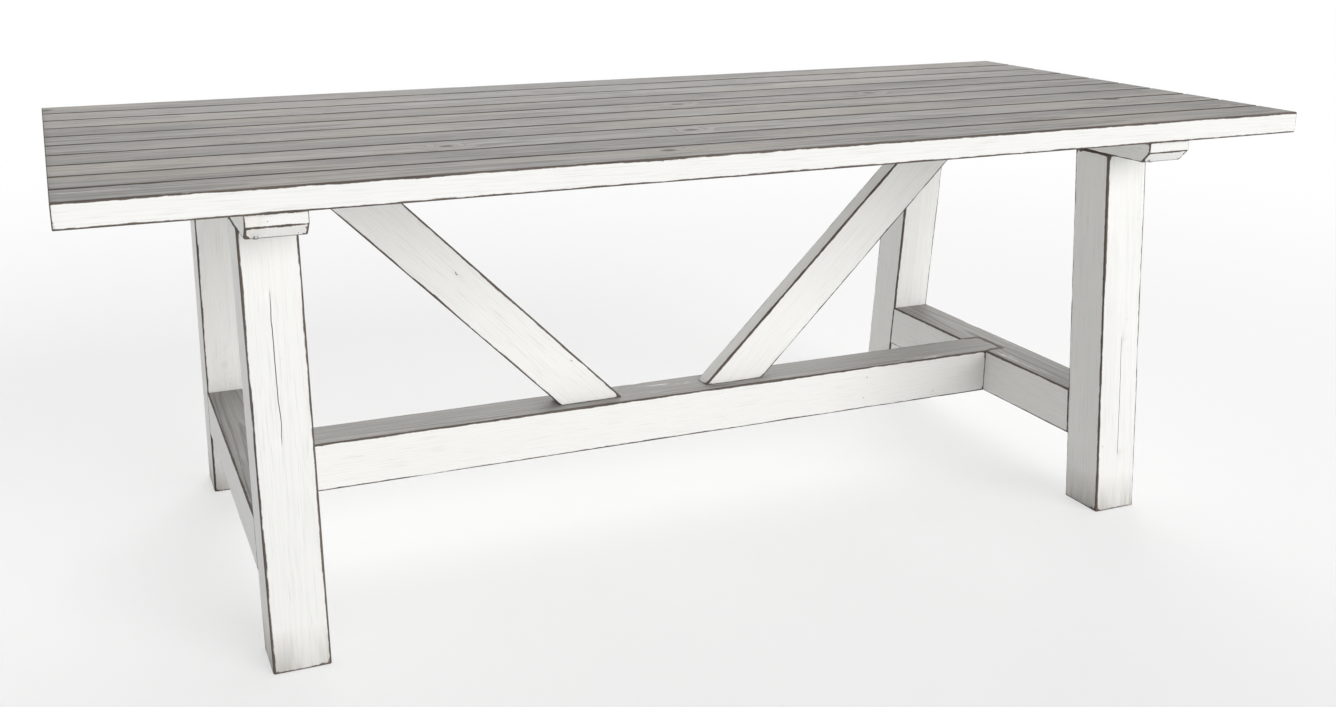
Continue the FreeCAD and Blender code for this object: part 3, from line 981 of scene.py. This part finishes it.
def section(timber, places, along, inset, radii, deepest):
    """Points round a timber's section, from the corner at its upper right."""
    right = timber.width / 2 - inset
    upper = timber.depth / 2 - inset
    lower = timber.raised(along) + inset - timber.depth / 2
    corners = ((right, upper, 1, 1), (-right, upper, -1, 1), (-right, lower, -1, -1), (right, lower, 1, -1))
    arcs = []
    for number, (across, deep, sign_across, sign_deep) in enumerate(corners):
        radius = max(radii[number] - inset, radii[number] * LEAST_ROUNDING)
        radius = min(radius, (upper - lower) * MOST_ROUNDING)
        turns = [math.radians(90 * (number + step / ARC_STEPS)) for step in range(ARC_STEPS + 1)]
        middle = Vector((across - sign_across * radius, deep - sign_deep * radius))
        arcs.append([middle + radius * Vector((math.cos(turn), math.sin(turn))) for turn in turns])
    points = []
    for side, arc in enumerate(arcs):
        first = arc[-1]
        last = arcs[(side + 1) % len(arcs)][0]
        inward = Vector((first.y - last.y, last.x - first.x)).normalized()
        points += arc
        for share, crack in places[side]:
            point = first.lerp(last, share)
            if crack:
                point += inward * crack_depth(timber, side, share, along, deepest)
            points.append(point)
    return points


def stations(timber, settings):
    """Place along and inset of each ring: over one end, along the timber, over the other end."""
    ease = settings.end_radius
    cap = timber.half_end
    end = [(0.0, cap * share) for share in CAP_SHARES if cap * share > ease + NEAR]
    for step in range(END_STEPS):
        turn = math.radians(90 * step / END_STEPS)
        end.append((ease * (1 - math.cos(turn)), ease * (1 - math.sin(turn))))
    clear = timber.length - 2 * ease
    count = max(2, round(clear / settings.step))
    middle = [(ease + clear * step / count, 0.0) for step in range(count + 1)]
    breaks = [(place, 0.0) for place in timber.joints]
    run = timber.undercut.run
    if run:
        breaks += [(run, 0.0), (timber.length - run, 0.0)]
    apart = settings.step * BREAK_ROOM
    middle = [ring for ring in middle if all(abs(ring[0] - edge[0]) > apart for edge in breaks)]
    middle = sorted(middle + breaks)
    return end + middle + [(timber.length - along, inset) for along, inset in reversed(end)]


def nicks_of(timber, settings):
    """Small dents in the long edges, the same ones each run."""
    draw = random.Random(timber.name)
    return [
        Nick(corner, draw.uniform(0, timber.length), draw.uniform(*NICK_REACH), draw.uniform(*NICK_SHARE))
        for corner in range(SIDE_COUNT)
        for _ in range(round(timber.length / settings.nick_spacing))
    ]


def unevenness(timber, corner, along):
    """How far the rounding of one long edge strays from the usual, about -1 to 1."""
    seed = sum(map(ord, timber.name))
    strays = []
    for wave in EDGE_WAVES:
        place = Vector((along * wave.repeats, corner * wave.corner_step, seed * wave.seed_step))
        strays.append(noise.noise(place) * wave.share)
    return sum(strays)


def edge_radii(timber, along, nicks, settings):
    """Rounding of the four long edges at one place along a timber."""
    radii = []
    for corner in range(SIDE_COUNT):
        radius = settings.edge_radius + settings.edge_unevenness * unevenness(timber, corner, along)
        for nick in nicks:
            away = abs(along - nick.place) / nick.reach
            if nick.corner == corner and away < 1:
                radius += nick.depth * settings.nick_depth * (1 - away * away)
        radii.append(radius)
    return radii


def skin(made, rings):
    """Faces between rings of vertices, and one over each end."""
    for ring, following in zip(rings, rings[1:]):
        for first in range(len(ring)):
            second = (first + 1) % len(ring)
            made.faces.new((ring[first], ring[second], following[second], following[first]))
    made.faces.new(rings[0])
    made.faces.new(rings[-1])


def loft(timber, settings):
    """The timber's mesh, ring by ring, closed at both ends."""
    nicks = nicks_of(timber, settings)
    places = [side_places(timber, side) for side in range(SIDE_COUNT)]
    made = bmesh.new()
    rings = []
    for along, inset in stations(timber, settings):
        radii = edge_radii(timber, along, nicks, settings)
        lean = timber.slant(along)
        deepest = settings.check_depth * max(0.0, 1 - inset / timber.half_end)
        ring = []
        for across, deep in section(timber, places, along, inset, radii, deepest):
            ring.append(made.verts.new(timber.axes @ Vector((along + lean * deep, across, deep))))
        rings.append(ring)
    skin(made, rings)
    return mesh_from(made, timber.name)


def mesh_from(made, name):
    """A mesh of what was made, with its faces turned outwards."""
    bmesh.ops.recalc_face_normals(made, faces=made.faces[:])
    mesh = bpy.data.meshes.new(name)
    made.to_mesh(mesh)
    made.free()
    return mesh


def new_object(name, data):
    """An object of a mesh, a lamp or a camera, put in the scene."""
    made = bpy.data.objects.new(name, data)
    bpy.context.scene.collection.objects.link(made)
    return made


def add_box(cutter, corner, opposite):
    """A box between two opposite corners, added to a cutter."""
    size = map(abs, opposite - corner)
    place = Matrix.Translation((corner + opposite) / 2) @ Matrix.Diagonal((*size, 1.0))
    bmesh.ops.create_cube(cutter, size=1.0, matrix=place)


def add_cone(cutter, place, low, high, low_radius, high_radius, facets):
    """An upright cone or cylinder between two heights, added to a cutter."""
    bmesh.ops.create_cone(
        cutter,
        cap_ends=True,
        segments=facets,
        radius1=low_radius,
        radius2=high_radius,
        depth=high - low,
        matrix=Matrix.Translation((place.x, place.y, (low + high) / 2)),
    )


def keep_this_end(cutter, place):
    """Takes out of a cutter what is at the other end of the table."""
    away = [vertex for vertex in cutter.verts if vertex.co.x * place < 0]
    bmesh.ops.delete(cutter, geom=away, context="VERTS")


def carve(mesh, cutter):
    """The mesh with the cutter's solids taken out of it."""
    blank = new_object("blank", mesh)
    tool = new_object("tool", mesh_from(cutter, "tool"))
    cut = blank.modifiers.new("cut", "BOOLEAN")
    cut.operation = "DIFFERENCE"
    cut.solver = "EXACT"
    cut.object = tool
    bpy.context.view_layer.update()
    carved = bpy.data.meshes.new_from_object(blank.evaluated_get(bpy.context.evaluated_depsgraph_get()))
    name = mesh.name
    tool_mesh = tool.data
    bpy.data.objects.remove(blank)
    bpy.data.objects.remove(tool)
    bpy.data.meshes.remove(mesh)
    bpy.data.meshes.remove(tool_mesh)
    carved.name = name
    return carved


def edge_distance(timber, local):
    """How far a point on a timber's surface is from its nearest edge, and how deep it is in a hole."""
    along, across, deep = local
    lean = timber.slant(along) * deep
    from_ends = min(along - lean, timber.length + lean - along)
    from_sides = timber.width / 2 - abs(across)
    upper = timber.depth / 2 - deep
    lower = deep + timber.depth / 2 - timber.raised(along - lean)
    from_faces = min(upper, lower)
    distance = sorted((from_ends * timber.end_rub, from_sides, from_faces))[1]
    if from_ends < NEAR:
        distance *= timber.end_rub
    run = timber.undercut.run
    if run and lower < NEAR:
        distance = min(distance, BREAK_RUB * abs(along - run), BREAK_RUB * abs(timber.length - run - along))
    if upper > NEAR:
        distance = min([distance] + [END_RUB * abs(along - place) for place in timber.joints])
    notch = timber.notch
    if notch and upper < NEAR:
        outside = (max(abs(along - notch.middle) - notch.half, 0.0), max(-across * notch.inward, 0.0))
        distance = min(distance, END_RUB * math.hypot(*outside))
    if from_ends < timber.lap:
        distance *= LAP_RUB
    return max(distance, 0.0), min(from_ends, from_sides, from_faces)


def heart_of(timber):
    """Where the tree's heart line ran, beside the timber, and the timber's own tone."""
    draw = random.Random("heart of " + timber.name)
    trunk = draw.uniform(0.0, TRUNK_LENGTH)
    beside = draw.uniform(-HEART_BESIDE, HEART_BESIDE) * timber.width
    below = timber.depth / 2 + draw.uniform(*HEART_BELOW)
    return Vector((trunk, beside, below * draw.choice((-1, 1)))), draw.uniform(-1.0, 1.0)


def store(mesh, name, kind, values):
    """Writes a value for each vertex."""
    layer = mesh.attributes.new(name, kind, "POINT")
    layer.data.foreach_set("vector" if kind == "FLOAT_VECTOR" else "value", values)


def mark_wear(mesh, timber):
    """Writes what the finishes read: grain, edge distance, bare holes, height and tone."""
    back = timber.axes.inverted()
    heart, tone = heart_of(timber)
    grain = []
    arris = []
    bare = []
    for vertex in mesh.vertices:
        local = back @ vertex.co
        grain.extend(local + heart)
        distance, depth = edge_distance(timber, local)
        arris.append(distance)
        bare.append(float(depth > HOLE_DEPTH and distance > HOLE_CLEARANCE))
    store(mesh, "grain", "FLOAT_VECTOR", grain)
    store(mesh, "arris", "FLOAT", arris)
    store(mesh, "bare", "FLOAT", bare)
    store(mesh, "height", "FLOAT", [vertex.co.z for vertex in mesh.vertices])
    store(mesh, "tone", "FLOAT", [tone] * len(mesh.vertices))


def set_piece(name, mesh, node):
    """Shades a piece, lets it ride on the table and lets it stand for its frame node."""
    mesh.polygons.foreach_set("use_smooth", [True] * len(mesh.polygons))
    mesh.set_sharp_from_angle(angle=SHARP_ANGLE)
    piece = new_object(name, mesh)
    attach(piece, BODY)
    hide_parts(node)


def dress(timber, settings, materials, choose=None, cutter=None):
    """Makes a timber's piece, with its holes cut and a finish on each face."""
    mesh = loft(timber, settings)
    if cutter:
        mesh = carve(mesh, cutter)
    mark_wear(mesh, timber)
    mesh.materials.clear()
    for material in materials:
        mesh.materials.append(material)
    if choose:
        for face in mesh.polygons:
            face.material_index = choose(face)
    set_piece(timber.name, mesh, timber.node)


def dress_in_paint(timber, settings, cutter=None):
    """Makes the piece of a timber that is painted all over."""
    dress(timber, settings.timber, [white_paint(settings.finish)], cutter=cutter)


# Screws


Screw = namedtuple("Screw", "place head tip radius")
Ring = namedtuple("Ring", "radius height square")

# Shares of a head's radius
RIM_SHARE = 0.12
NECK_SHARE = 0.75
SHANK_SHARE = 0.47
CORE_SHARE = 0.36
TIP_SHARE = 0.08

# Rings of the drive: width as a share of the drive's, depth as a share of the head's radius
DRIVE_RINGS = ((0.7, 0.55), (0.92, 0.42), (1.0, 0.05), (1.1, 0.0))

# Pitches without a thread at the neck and at the tip
PLAIN_PITCHES = 2

# Decimals of a place in metres, by which screws are put in order
PLACE_DIGITS = 5


def screws_of(node):
    """Each screw of a node: its middle, the heights of its head and tip, and its head's radius."""
    solid = bmesh.new()
    solid.from_mesh(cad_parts[node].data)
    bmesh.ops.remove_doubles(solid, verts=solid.verts[:], dist=WELD)
    waiting = set(solid.verts)
    found = []
    while waiting:
        island = {waiting.pop()}
        edge = set(island)
        while edge:
            edge = {other.other_vert(vertex) for vertex in edge for other in vertex.link_edges} & waiting
            waiting -= edge
            island |= edge
        points = [vertex.co for vertex in island]
        low = Vector([min(point[axis] for point in points) for axis in range(3)])
        high = Vector([max(point[axis] for point in points) for axis in range(3)])
        found.append(Screw((low + high) / 2, low.z, high.z, (high.x - low.x) / 2))
    solid.free()
    return sorted(found, key=lambda screw: tuple(round(value, PLACE_DIGITS) for value in screw.place))


def mouths(node, face, settings):
    """A cutter for the countersunk mouths of a node's screws in a flat lower face."""
    cutter = bmesh.new()
    for screw in screws_of(node):
        slope = settings.mouth_room / (screw.head - face)
        mouth = screw.radius + settings.mouth_room + slope * PAST
        add_cone(cutter, screw.place, face - PAST, screw.head + HAIR, mouth, screw.radius, settings.facets)
    return cutter


def wells(node, bottom, settings):
    """A cutter for the wells that a node's screws are set in."""
    cutter = bmesh.new()
    for screw in screws_of(node):
        radius = screw.radius + settings.well_room
        add_cone(cutter, screw.place, bottom, screw.head + HAIR, radius, radius, settings.facets)
    return cutter


def screw_profile(screw, settings):
    """The rings of a screw, from the floor of its drive to its tip."""
    drive = settings.drive * screw.radius
    rim = RIM_SHARE * screw.radius
    neck = screw.head + NECK_SHARE * screw.radius
    shank = SHANK_SHARE * screw.radius
    core = CORE_SHARE * screw.radius
    rings = [Ring(drive * width, screw.head + depth * screw.radius, True) for width, depth in DRIVE_RINGS]
    rings.append(Ring(screw.radius - rim, screw.head, False))
    rings.append(Ring(screw.radius, screw.head + rim, False))
    rings.append(Ring(shank, neck, False))
    pitch = settings.thread_pitch
    plain = PLAIN_PITCHES * pitch
    start = neck + plain
    turns = int((screw.tip - plain - start) / pitch)
    for turn in range(turns):
        ridge = start + turn * pitch
        rings.append(Ring(core, ridge, False))
        rings.append(Ring(shank, ridge + pitch / 2, False))
    rings.append(Ring(core, start + turns * pitch, False))
    rings.append(Ring(TIP_SHARE * screw.radius, screw.tip, False))
    return rings


def add_screw(made, screw, settings, turned):
    """A countersunk screw with a square drive, head down."""
    rings = []
    for profile in screw_profile(screw, settings):
        ring = []
        for facet in range(settings.facets):
            turn = math.tau * facet / settings.facets
            flat = max(abs(math.cos(turn)), abs(math.sin(turn)))
            reach = profile.radius / flat if profile.square else profile.radius
            place = (reach * math.cos(turn + turned), reach * math.sin(turn + turned), profile.height)
            ring.append(made.verts.new(Vector((screw.place.x, screw.place.y, 0.0)) + Vector(place)))
        rings.append(ring)
    skin(made, rings)


# Operators, one for each group of like pieces


# Materials of a plank: grey wash, which is partly painted shade of the upward faces, and white paint; and
# how squarely a face looks outwards to be painted
WASHED_AND_SHADED = 0
PAINTED = 1
RIM_FACING = 0.5


class LayBoards(bpy.types.Operator):
    """Lay the grey-washed planks of the top"""

    bl_idname = "farmhouse_table.lay_boards"
    bl_label = "Lay top boards"

    def execute(self, context):
        settings = context.scene.farmhouse_table
        materials = (grey_wash_and_top_shade(settings.finish), white_paint(settings.finish))
        for number in range(1, BOARD_COUNT + 1):
            self.lay(number, settings.timber, materials)
        return {"FINISHED"}

    def lay(self, number, settings, materials):
        timber = lengthwise(f"plank_{number:02d}", f"top_board_{number:02d}")
        timber.checks = plank_checks(timber)
        outward = {1: -1, BOARD_COUNT: 1}.get(number, 0)

        def choose(face):
            """Paint on the rim, the ends and the underside, and grey wash elsewhere, so the upward faces
            are grey, partly as a finish and partly as painted shade.
            """
            rim = face.normal.y * outward > RIM_FACING
            end = abs(face.normal.x) > RIM_FACING
            under = face.normal.z < -RIM_FACING
            return PAINTED if rim or end or under else WASHED_AND_SHADED

        dress(timber, settings, materials, choose)


class FixBattens(bpy.types.Operator):
    """Fix the cross battens under the top, with their ends cut back below"""

    bl_idname = "farmhouse_table.fix_battens"
    bl_label = "Fix cross battens"

    def execute(self, context):
        settings = context.scene.farmhouse_table
        for side in SIDES:
            node = f"{side}_batten"
            timber = crosswise(f"{side}_cross_batten", node)
            cutter = mouths(f"{side}_batten_screws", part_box(node)[0].z, settings.screw)
            dress_in_paint(timber, settings, cutter)
        return {"FINISHED"}


class FixCleat(bpy.types.Operator):
    """Fix the thin cleat that ties the planks together at mid length"""

    bl_idname = "farmhouse_table.fix_cleat"
    bl_label = "Fix centre cleat"

    def execute(self, context):
        settings = context.scene.farmhouse_table
        node = "centre_cleat"
        timber = crosswise("plank_cleat", node)
        cutter = wells("cleat_screws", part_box(node)[0].z - PAST, settings.screw)
        dress_in_paint(timber, settings, cutter)
        return {"FINISHED"}


class StandLegs(bpy.types.Operator):
    """Stand the four splayed posts under the battens"""

    bl_idname = "farmhouse_table.stand_legs"
    bl_label = "Stand legs"

    def execute(self, context):
        settings = context.scene.farmhouse_table
        for side in SIDES:
            head_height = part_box(f"{side}_batten")[0].z
            for depth in DEPTHS:
                place = f"{depth}_{side}"
                timber = leaning(f"{place}_post", f"{place}_leg", Y_AXIS, head_height)
                timber.checks = post_checks(timber)
                timber.end_rub = FOOT_RUB
                dress_in_paint(timber, settings)
        return {"FINISHED"}


class FitEndStretchers(bpy.types.Operator):
    """Fit the stretchers between the posts of each pair, notched for the centre stretcher"""

    bl_idname = "farmhouse_table.fit_end_stretchers"
    bl_label = "Fit end stretchers"

    def execute(self, context):
        settings = context.scene.farmhouse_table
        for side, inward in zip(SIDES, (1, -1)):
            self.fit(side, inward, settings)
        return {"FINISHED"}

    def fit(self, side, inward, settings):
        node = f"{side}_end_stretcher"
        low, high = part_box(node)
        middle = (low + high) / 2
        size = high - low
        lower = span_at(node, Y_AXIS, low.z)[1]
        upper = span_at(node, Y_AXIS, high.z)[1]
        reach = (lower + upper) / 2
        slant = (upper - lower) / size.z
        axes = axes_of(Vector((middle.x, -reach, middle.z)), BACK, RIGHT, UP)
        timber = Timber(f"{side}_end_rail", node, axes, 2 * reach, size.x, size.z, (-slant, slant))
        lap_low, lap_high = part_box("centre_stretcher")
        timber.notch = Notch(reach, (lap_high.y - lap_low.y) / 2, inward)
        cutter = mouths("lap_screws", low.z, settings.screw)
        keep_this_end(cutter, middle.x)
        inner = Vector((middle.x, lap_low.y - HAIR, middle.z))
        outer = Vector((middle.x + inward * size.x, lap_high.y + HAIR, high.z + size.z))
        add_box(cutter, inner, outer)
        dress_in_paint(timber, settings, cutter)


class FitCentreStretcher(bpy.types.Operator):
    """Fit the long stretcher, with a tongue lapped into each end stretcher"""

    bl_idname = "farmhouse_table.fit_centre_stretcher"
    bl_label = "Fit centre stretcher"

    def execute(self, context):
        settings = context.scene.farmhouse_table
        node = "centre_stretcher"
        low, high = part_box(node)
        middle = (low + high) / 2
        size = high - low
        left_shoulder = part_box("left_end_stretcher")[1].x
        right_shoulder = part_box("right_end_stretcher")[0].x
        timber = lengthwise("long_rail", node)
        timber.lap = left_shoulder - low.x
        timber.joints = (timber.lap, timber.length - timber.lap)
        cutter = mouths("brace_foot_screws", low.z, settings.screw)
        for near, far in ((low.x - size.z, left_shoulder), (right_shoulder, high.x + size.z)):
            corner = Vector((near, low.y - size.y, low.z - size.z))
            add_box(cutter, corner, Vector((far, high.y + size.y, middle.z)))
        dress_in_paint(timber, settings, cutter)
        return {"FINISHED"}


# How far under its head a well is cut, in depths of the brace, to come out of its lower face
BRACE_WELL_DEPTHS = 2


class FitBraces(bpy.types.Operator):
    """Fit the raking braces between the long stretcher and the top"""

    bl_idname = "farmhouse_table.fit_braces"
    bl_label = "Fit braces"

    def execute(self, context):
        settings = context.scene.farmhouse_table
        for side in SIDES:
            node = f"{side}_brace"
            low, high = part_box(node)
            timber = leaning(f"{side}_raking_brace", node, X_AXIS, high.z)
            below = high.z - BRACE_WELL_DEPTHS * timber.depth
            cutter = wells("brace_top_screws", below, settings.screw)
            keep_this_end(cutter, low.x + high.x)
            dress_in_paint(timber, settings, cutter)
        return {"FINISHED"}


class DriveScrews(bpy.types.Operator):
    """Drive the screws that hold the timbers together from below"""

    bl_idname = "farmhouse_table.drive_screws"
    bl_label = "Drive screws"

    def execute(self, context):
        settings = context.scene.farmhouse_table
        for node in sorted(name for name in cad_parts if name.endswith("_screws")):
            self.drive(node, settings)
        return {"FINISHED"}

    def drive(self, node, settings):
        draw = random.Random(node)
        name = f"driven_{node}"
        made = bmesh.new()
        for screw in screws_of(node):
            add_screw(made, screw, settings.screw, draw.uniform(0, math.tau))
        mesh = mesh_from(made, name)
        mesh.materials.append(zinc_steel(settings.finish))
        set_piece(name, mesh, node)


# The floor's size, where it fades to white, and where the lamps shine from, in metres
FLOOR_REACH = 60.0
FLOOR_FACETS = 96
FADE_ENDS = (1.4, 4.5)
KEY_FROM = (2.1, -4.4, 1.35)
REAR_FROM = (1.6, 4.4, 2.2)
WHITE = (1.0, 1.0, 1.0, 1.0)


class SetStage(bpy.types.Operator):
    """Set the floor, the background, the lamps and the camera"""

    bl_idname = "farmhouse_table.set_stage"
    bl_label = "Set stage"

    def execute(self, context):
        settings = context.scene.farmhouse_table.stage
        self.lay_floor(settings)
        self.light_background(settings)
        self.hang_lamp("key_light", KEY_FROM, settings.key_strength, settings.softness)
        self.hang_lamp("rear_light", REAR_FROM, settings.rear_strength, settings.softness)
        self.place_camera(settings)
        context.scene.view_settings.view_transform = "Standard"
        return {"FINISHED"}

    def lay_floor(self, settings):
        made = bmesh.new()
        bmesh.ops.create_circle(made, cap_ends=True, segments=FLOOR_FACETS, radius=FLOOR_REACH)
        mesh = bpy.data.meshes.new("studio_floor")
        made.to_mesh(mesh)
        made.free()
        mesh.materials.append(self.floor_finish(settings))
        floor = new_object("studio_floor", mesh)
        floor.location.z = -HAIR

    def floor_finish(self, settings):
        """Pale floor that keeps the shadow near the table, fades to white and is clear from below."""
        made, _ = named_material("pale_floor")
        finish = Finish(made.node_tree)
        matt = finish.node("BsdfDiffuse", {}, {"Color": opaque(settings.floor)})
        white = finish.node("Emission", {}, {"Color": WHITE, "Strength": 1.0})
        place = finish.node("TexCoord", {}, {}, "Object")
        lift = settings.floor_lift
        fade = finish.length(place).rise(*FADE_ENDS) * (1 - lift) + lift
        above = finish.node("MixShader", {}, {0: fade * self.seen(finish), 1: matt, 2: white})
        clear = finish.node("BsdfTransparent", {}, {})
        beneath = finish.node("NewGeometry", {}, {}, "Backfacing")
        shader = finish.node("MixShader", {}, {0: beneath, 1: above, 2: clear})
        finish.node("OutputMaterial", {}, {"Surface": shader})
        return made

    def seen(self, finish):
        """1 for rays that the camera sees by, straight, mirrored or through glass."""
        camera = finish.node("LightPath", {}, {}, "Is Camera Ray")
        return camera.at_least(camera.also("Is Glossy Ray")).at_least(camera.also("Is Transmission Ray"))

    def light_background(self, settings):
        world = bpy.data.worlds.new("studio_light")
        world.use_nodes = True
        bpy.context.scene.world = world
        finish = Finish(world.node_tree)
        ambient = finish.node("Background", {}, {"Color": WHITE, "Strength": settings.ambient})
        white = finish.node("Background", {}, {"Color": WHITE, "Strength": 1.0})
        shader = finish.node("MixShader", {}, {0: self.seen(finish), 1: ambient, 2: white})
        finish.node("OutputWorld", {}, {"Surface": shader})

    def hang_lamp(self, name, place, strength, softness):
        data = bpy.data.lights.new(name, "SUN")
        data.energy = strength
        data.angle = softness
        lamp = new_object(name, data)
        lamp.location = place
        lamp.rotation_euler = (-Vector(place)).to_track_quat("-Z", "Y").to_euler()

    def place_camera(self, settings):
        data = bpy.data.cameras.new("camera")
        data.sensor_fit = "HORIZONTAL"
        data.sensor_width = SENSOR_WIDTH
        data.lens = settings.focal_pixels / IMAGE_WIDTH * SENSOR_WIDTH
        data.shift_x = (IMAGE_WIDTH / 2 - settings.axis_pixel[0]) / IMAGE_WIDTH
        data.shift_y = (settings.axis_pixel[1] - IMAGE_HEIGHT / 2) / IMAGE_WIDTH
        camera = new_object("camera", data)
        camera.location = settings.camera_place
        camera.rotation_euler = (math.pi / 2 - settings.camera_tilt, 0.0, -settings.camera_pan)
        bpy.context.scene.camera = camera


OPERATORS = (
    LayBoards,
    FixBattens,
    FixCleat,
    StandLegs,
    FitEndStretchers,
    FitCentreStretcher,
    FitBraces,
    DriveScrews,
    SetStage,
)


class TableSettings(bpy.types.PropertyGroup):
    """All settings of the table and its stage."""

    timber: PointerProperty(type=TimberSettings)
    finish: PointerProperty(type=FinishSettings)
    screw: PointerProperty(type=ScrewSettings)
    stage: PointerProperty(type=StageSettings)


class TablePanel(bpy.types.Panel):
    """Lists the table's settings and the steps that dress it."""

    bl_idname = "VIEW3D_PT_farmhouse_table"
    bl_label = "Farmhouse Dining Table"
    bl_space_type = "VIEW_3D"
    bl_region_type = "UI"
    bl_category = "Table"

    def draw(self, context):
        settings = context.scene.farmhouse_table
        for group in (settings.timber, settings.finish, settings.screw, settings.stage):
            box = self.layout.box()
            for name in group.__annotations__:
                box.prop(group, name)
        for operator in OPERATORS:
            self.layout.operator(operator.bl_idname)


CLASSES = (
    TimberSettings,
    FinishSettings,
    ScrewSettings,
    StageSettings,
    TableSettings,
    *OPERATORS,
    TablePanel,
)


def register():
    for entry in CLASSES:
        bpy.utils.register_class(entry)
    bpy.types.Scene.farmhouse_table = PointerProperty(type=TableSettings)


def unregister():
    del bpy.types.Scene.farmhouse_table
    for entry in reversed(CLASSES):
        bpy.utils.unregister_class(entry)


def main():
    register()
    steps = bpy.ops.farmhouse_table
    steps.lay_boards()
    steps.fix_battens()
    steps.fix_cleat()
    steps.stand_legs()
    steps.fit_end_stretchers()
    steps.fit_centre_stretcher()
    steps.fit_braces()
    steps.drive_screws()
    steps.set_stage()


if __name__ == "__main__":
    main()
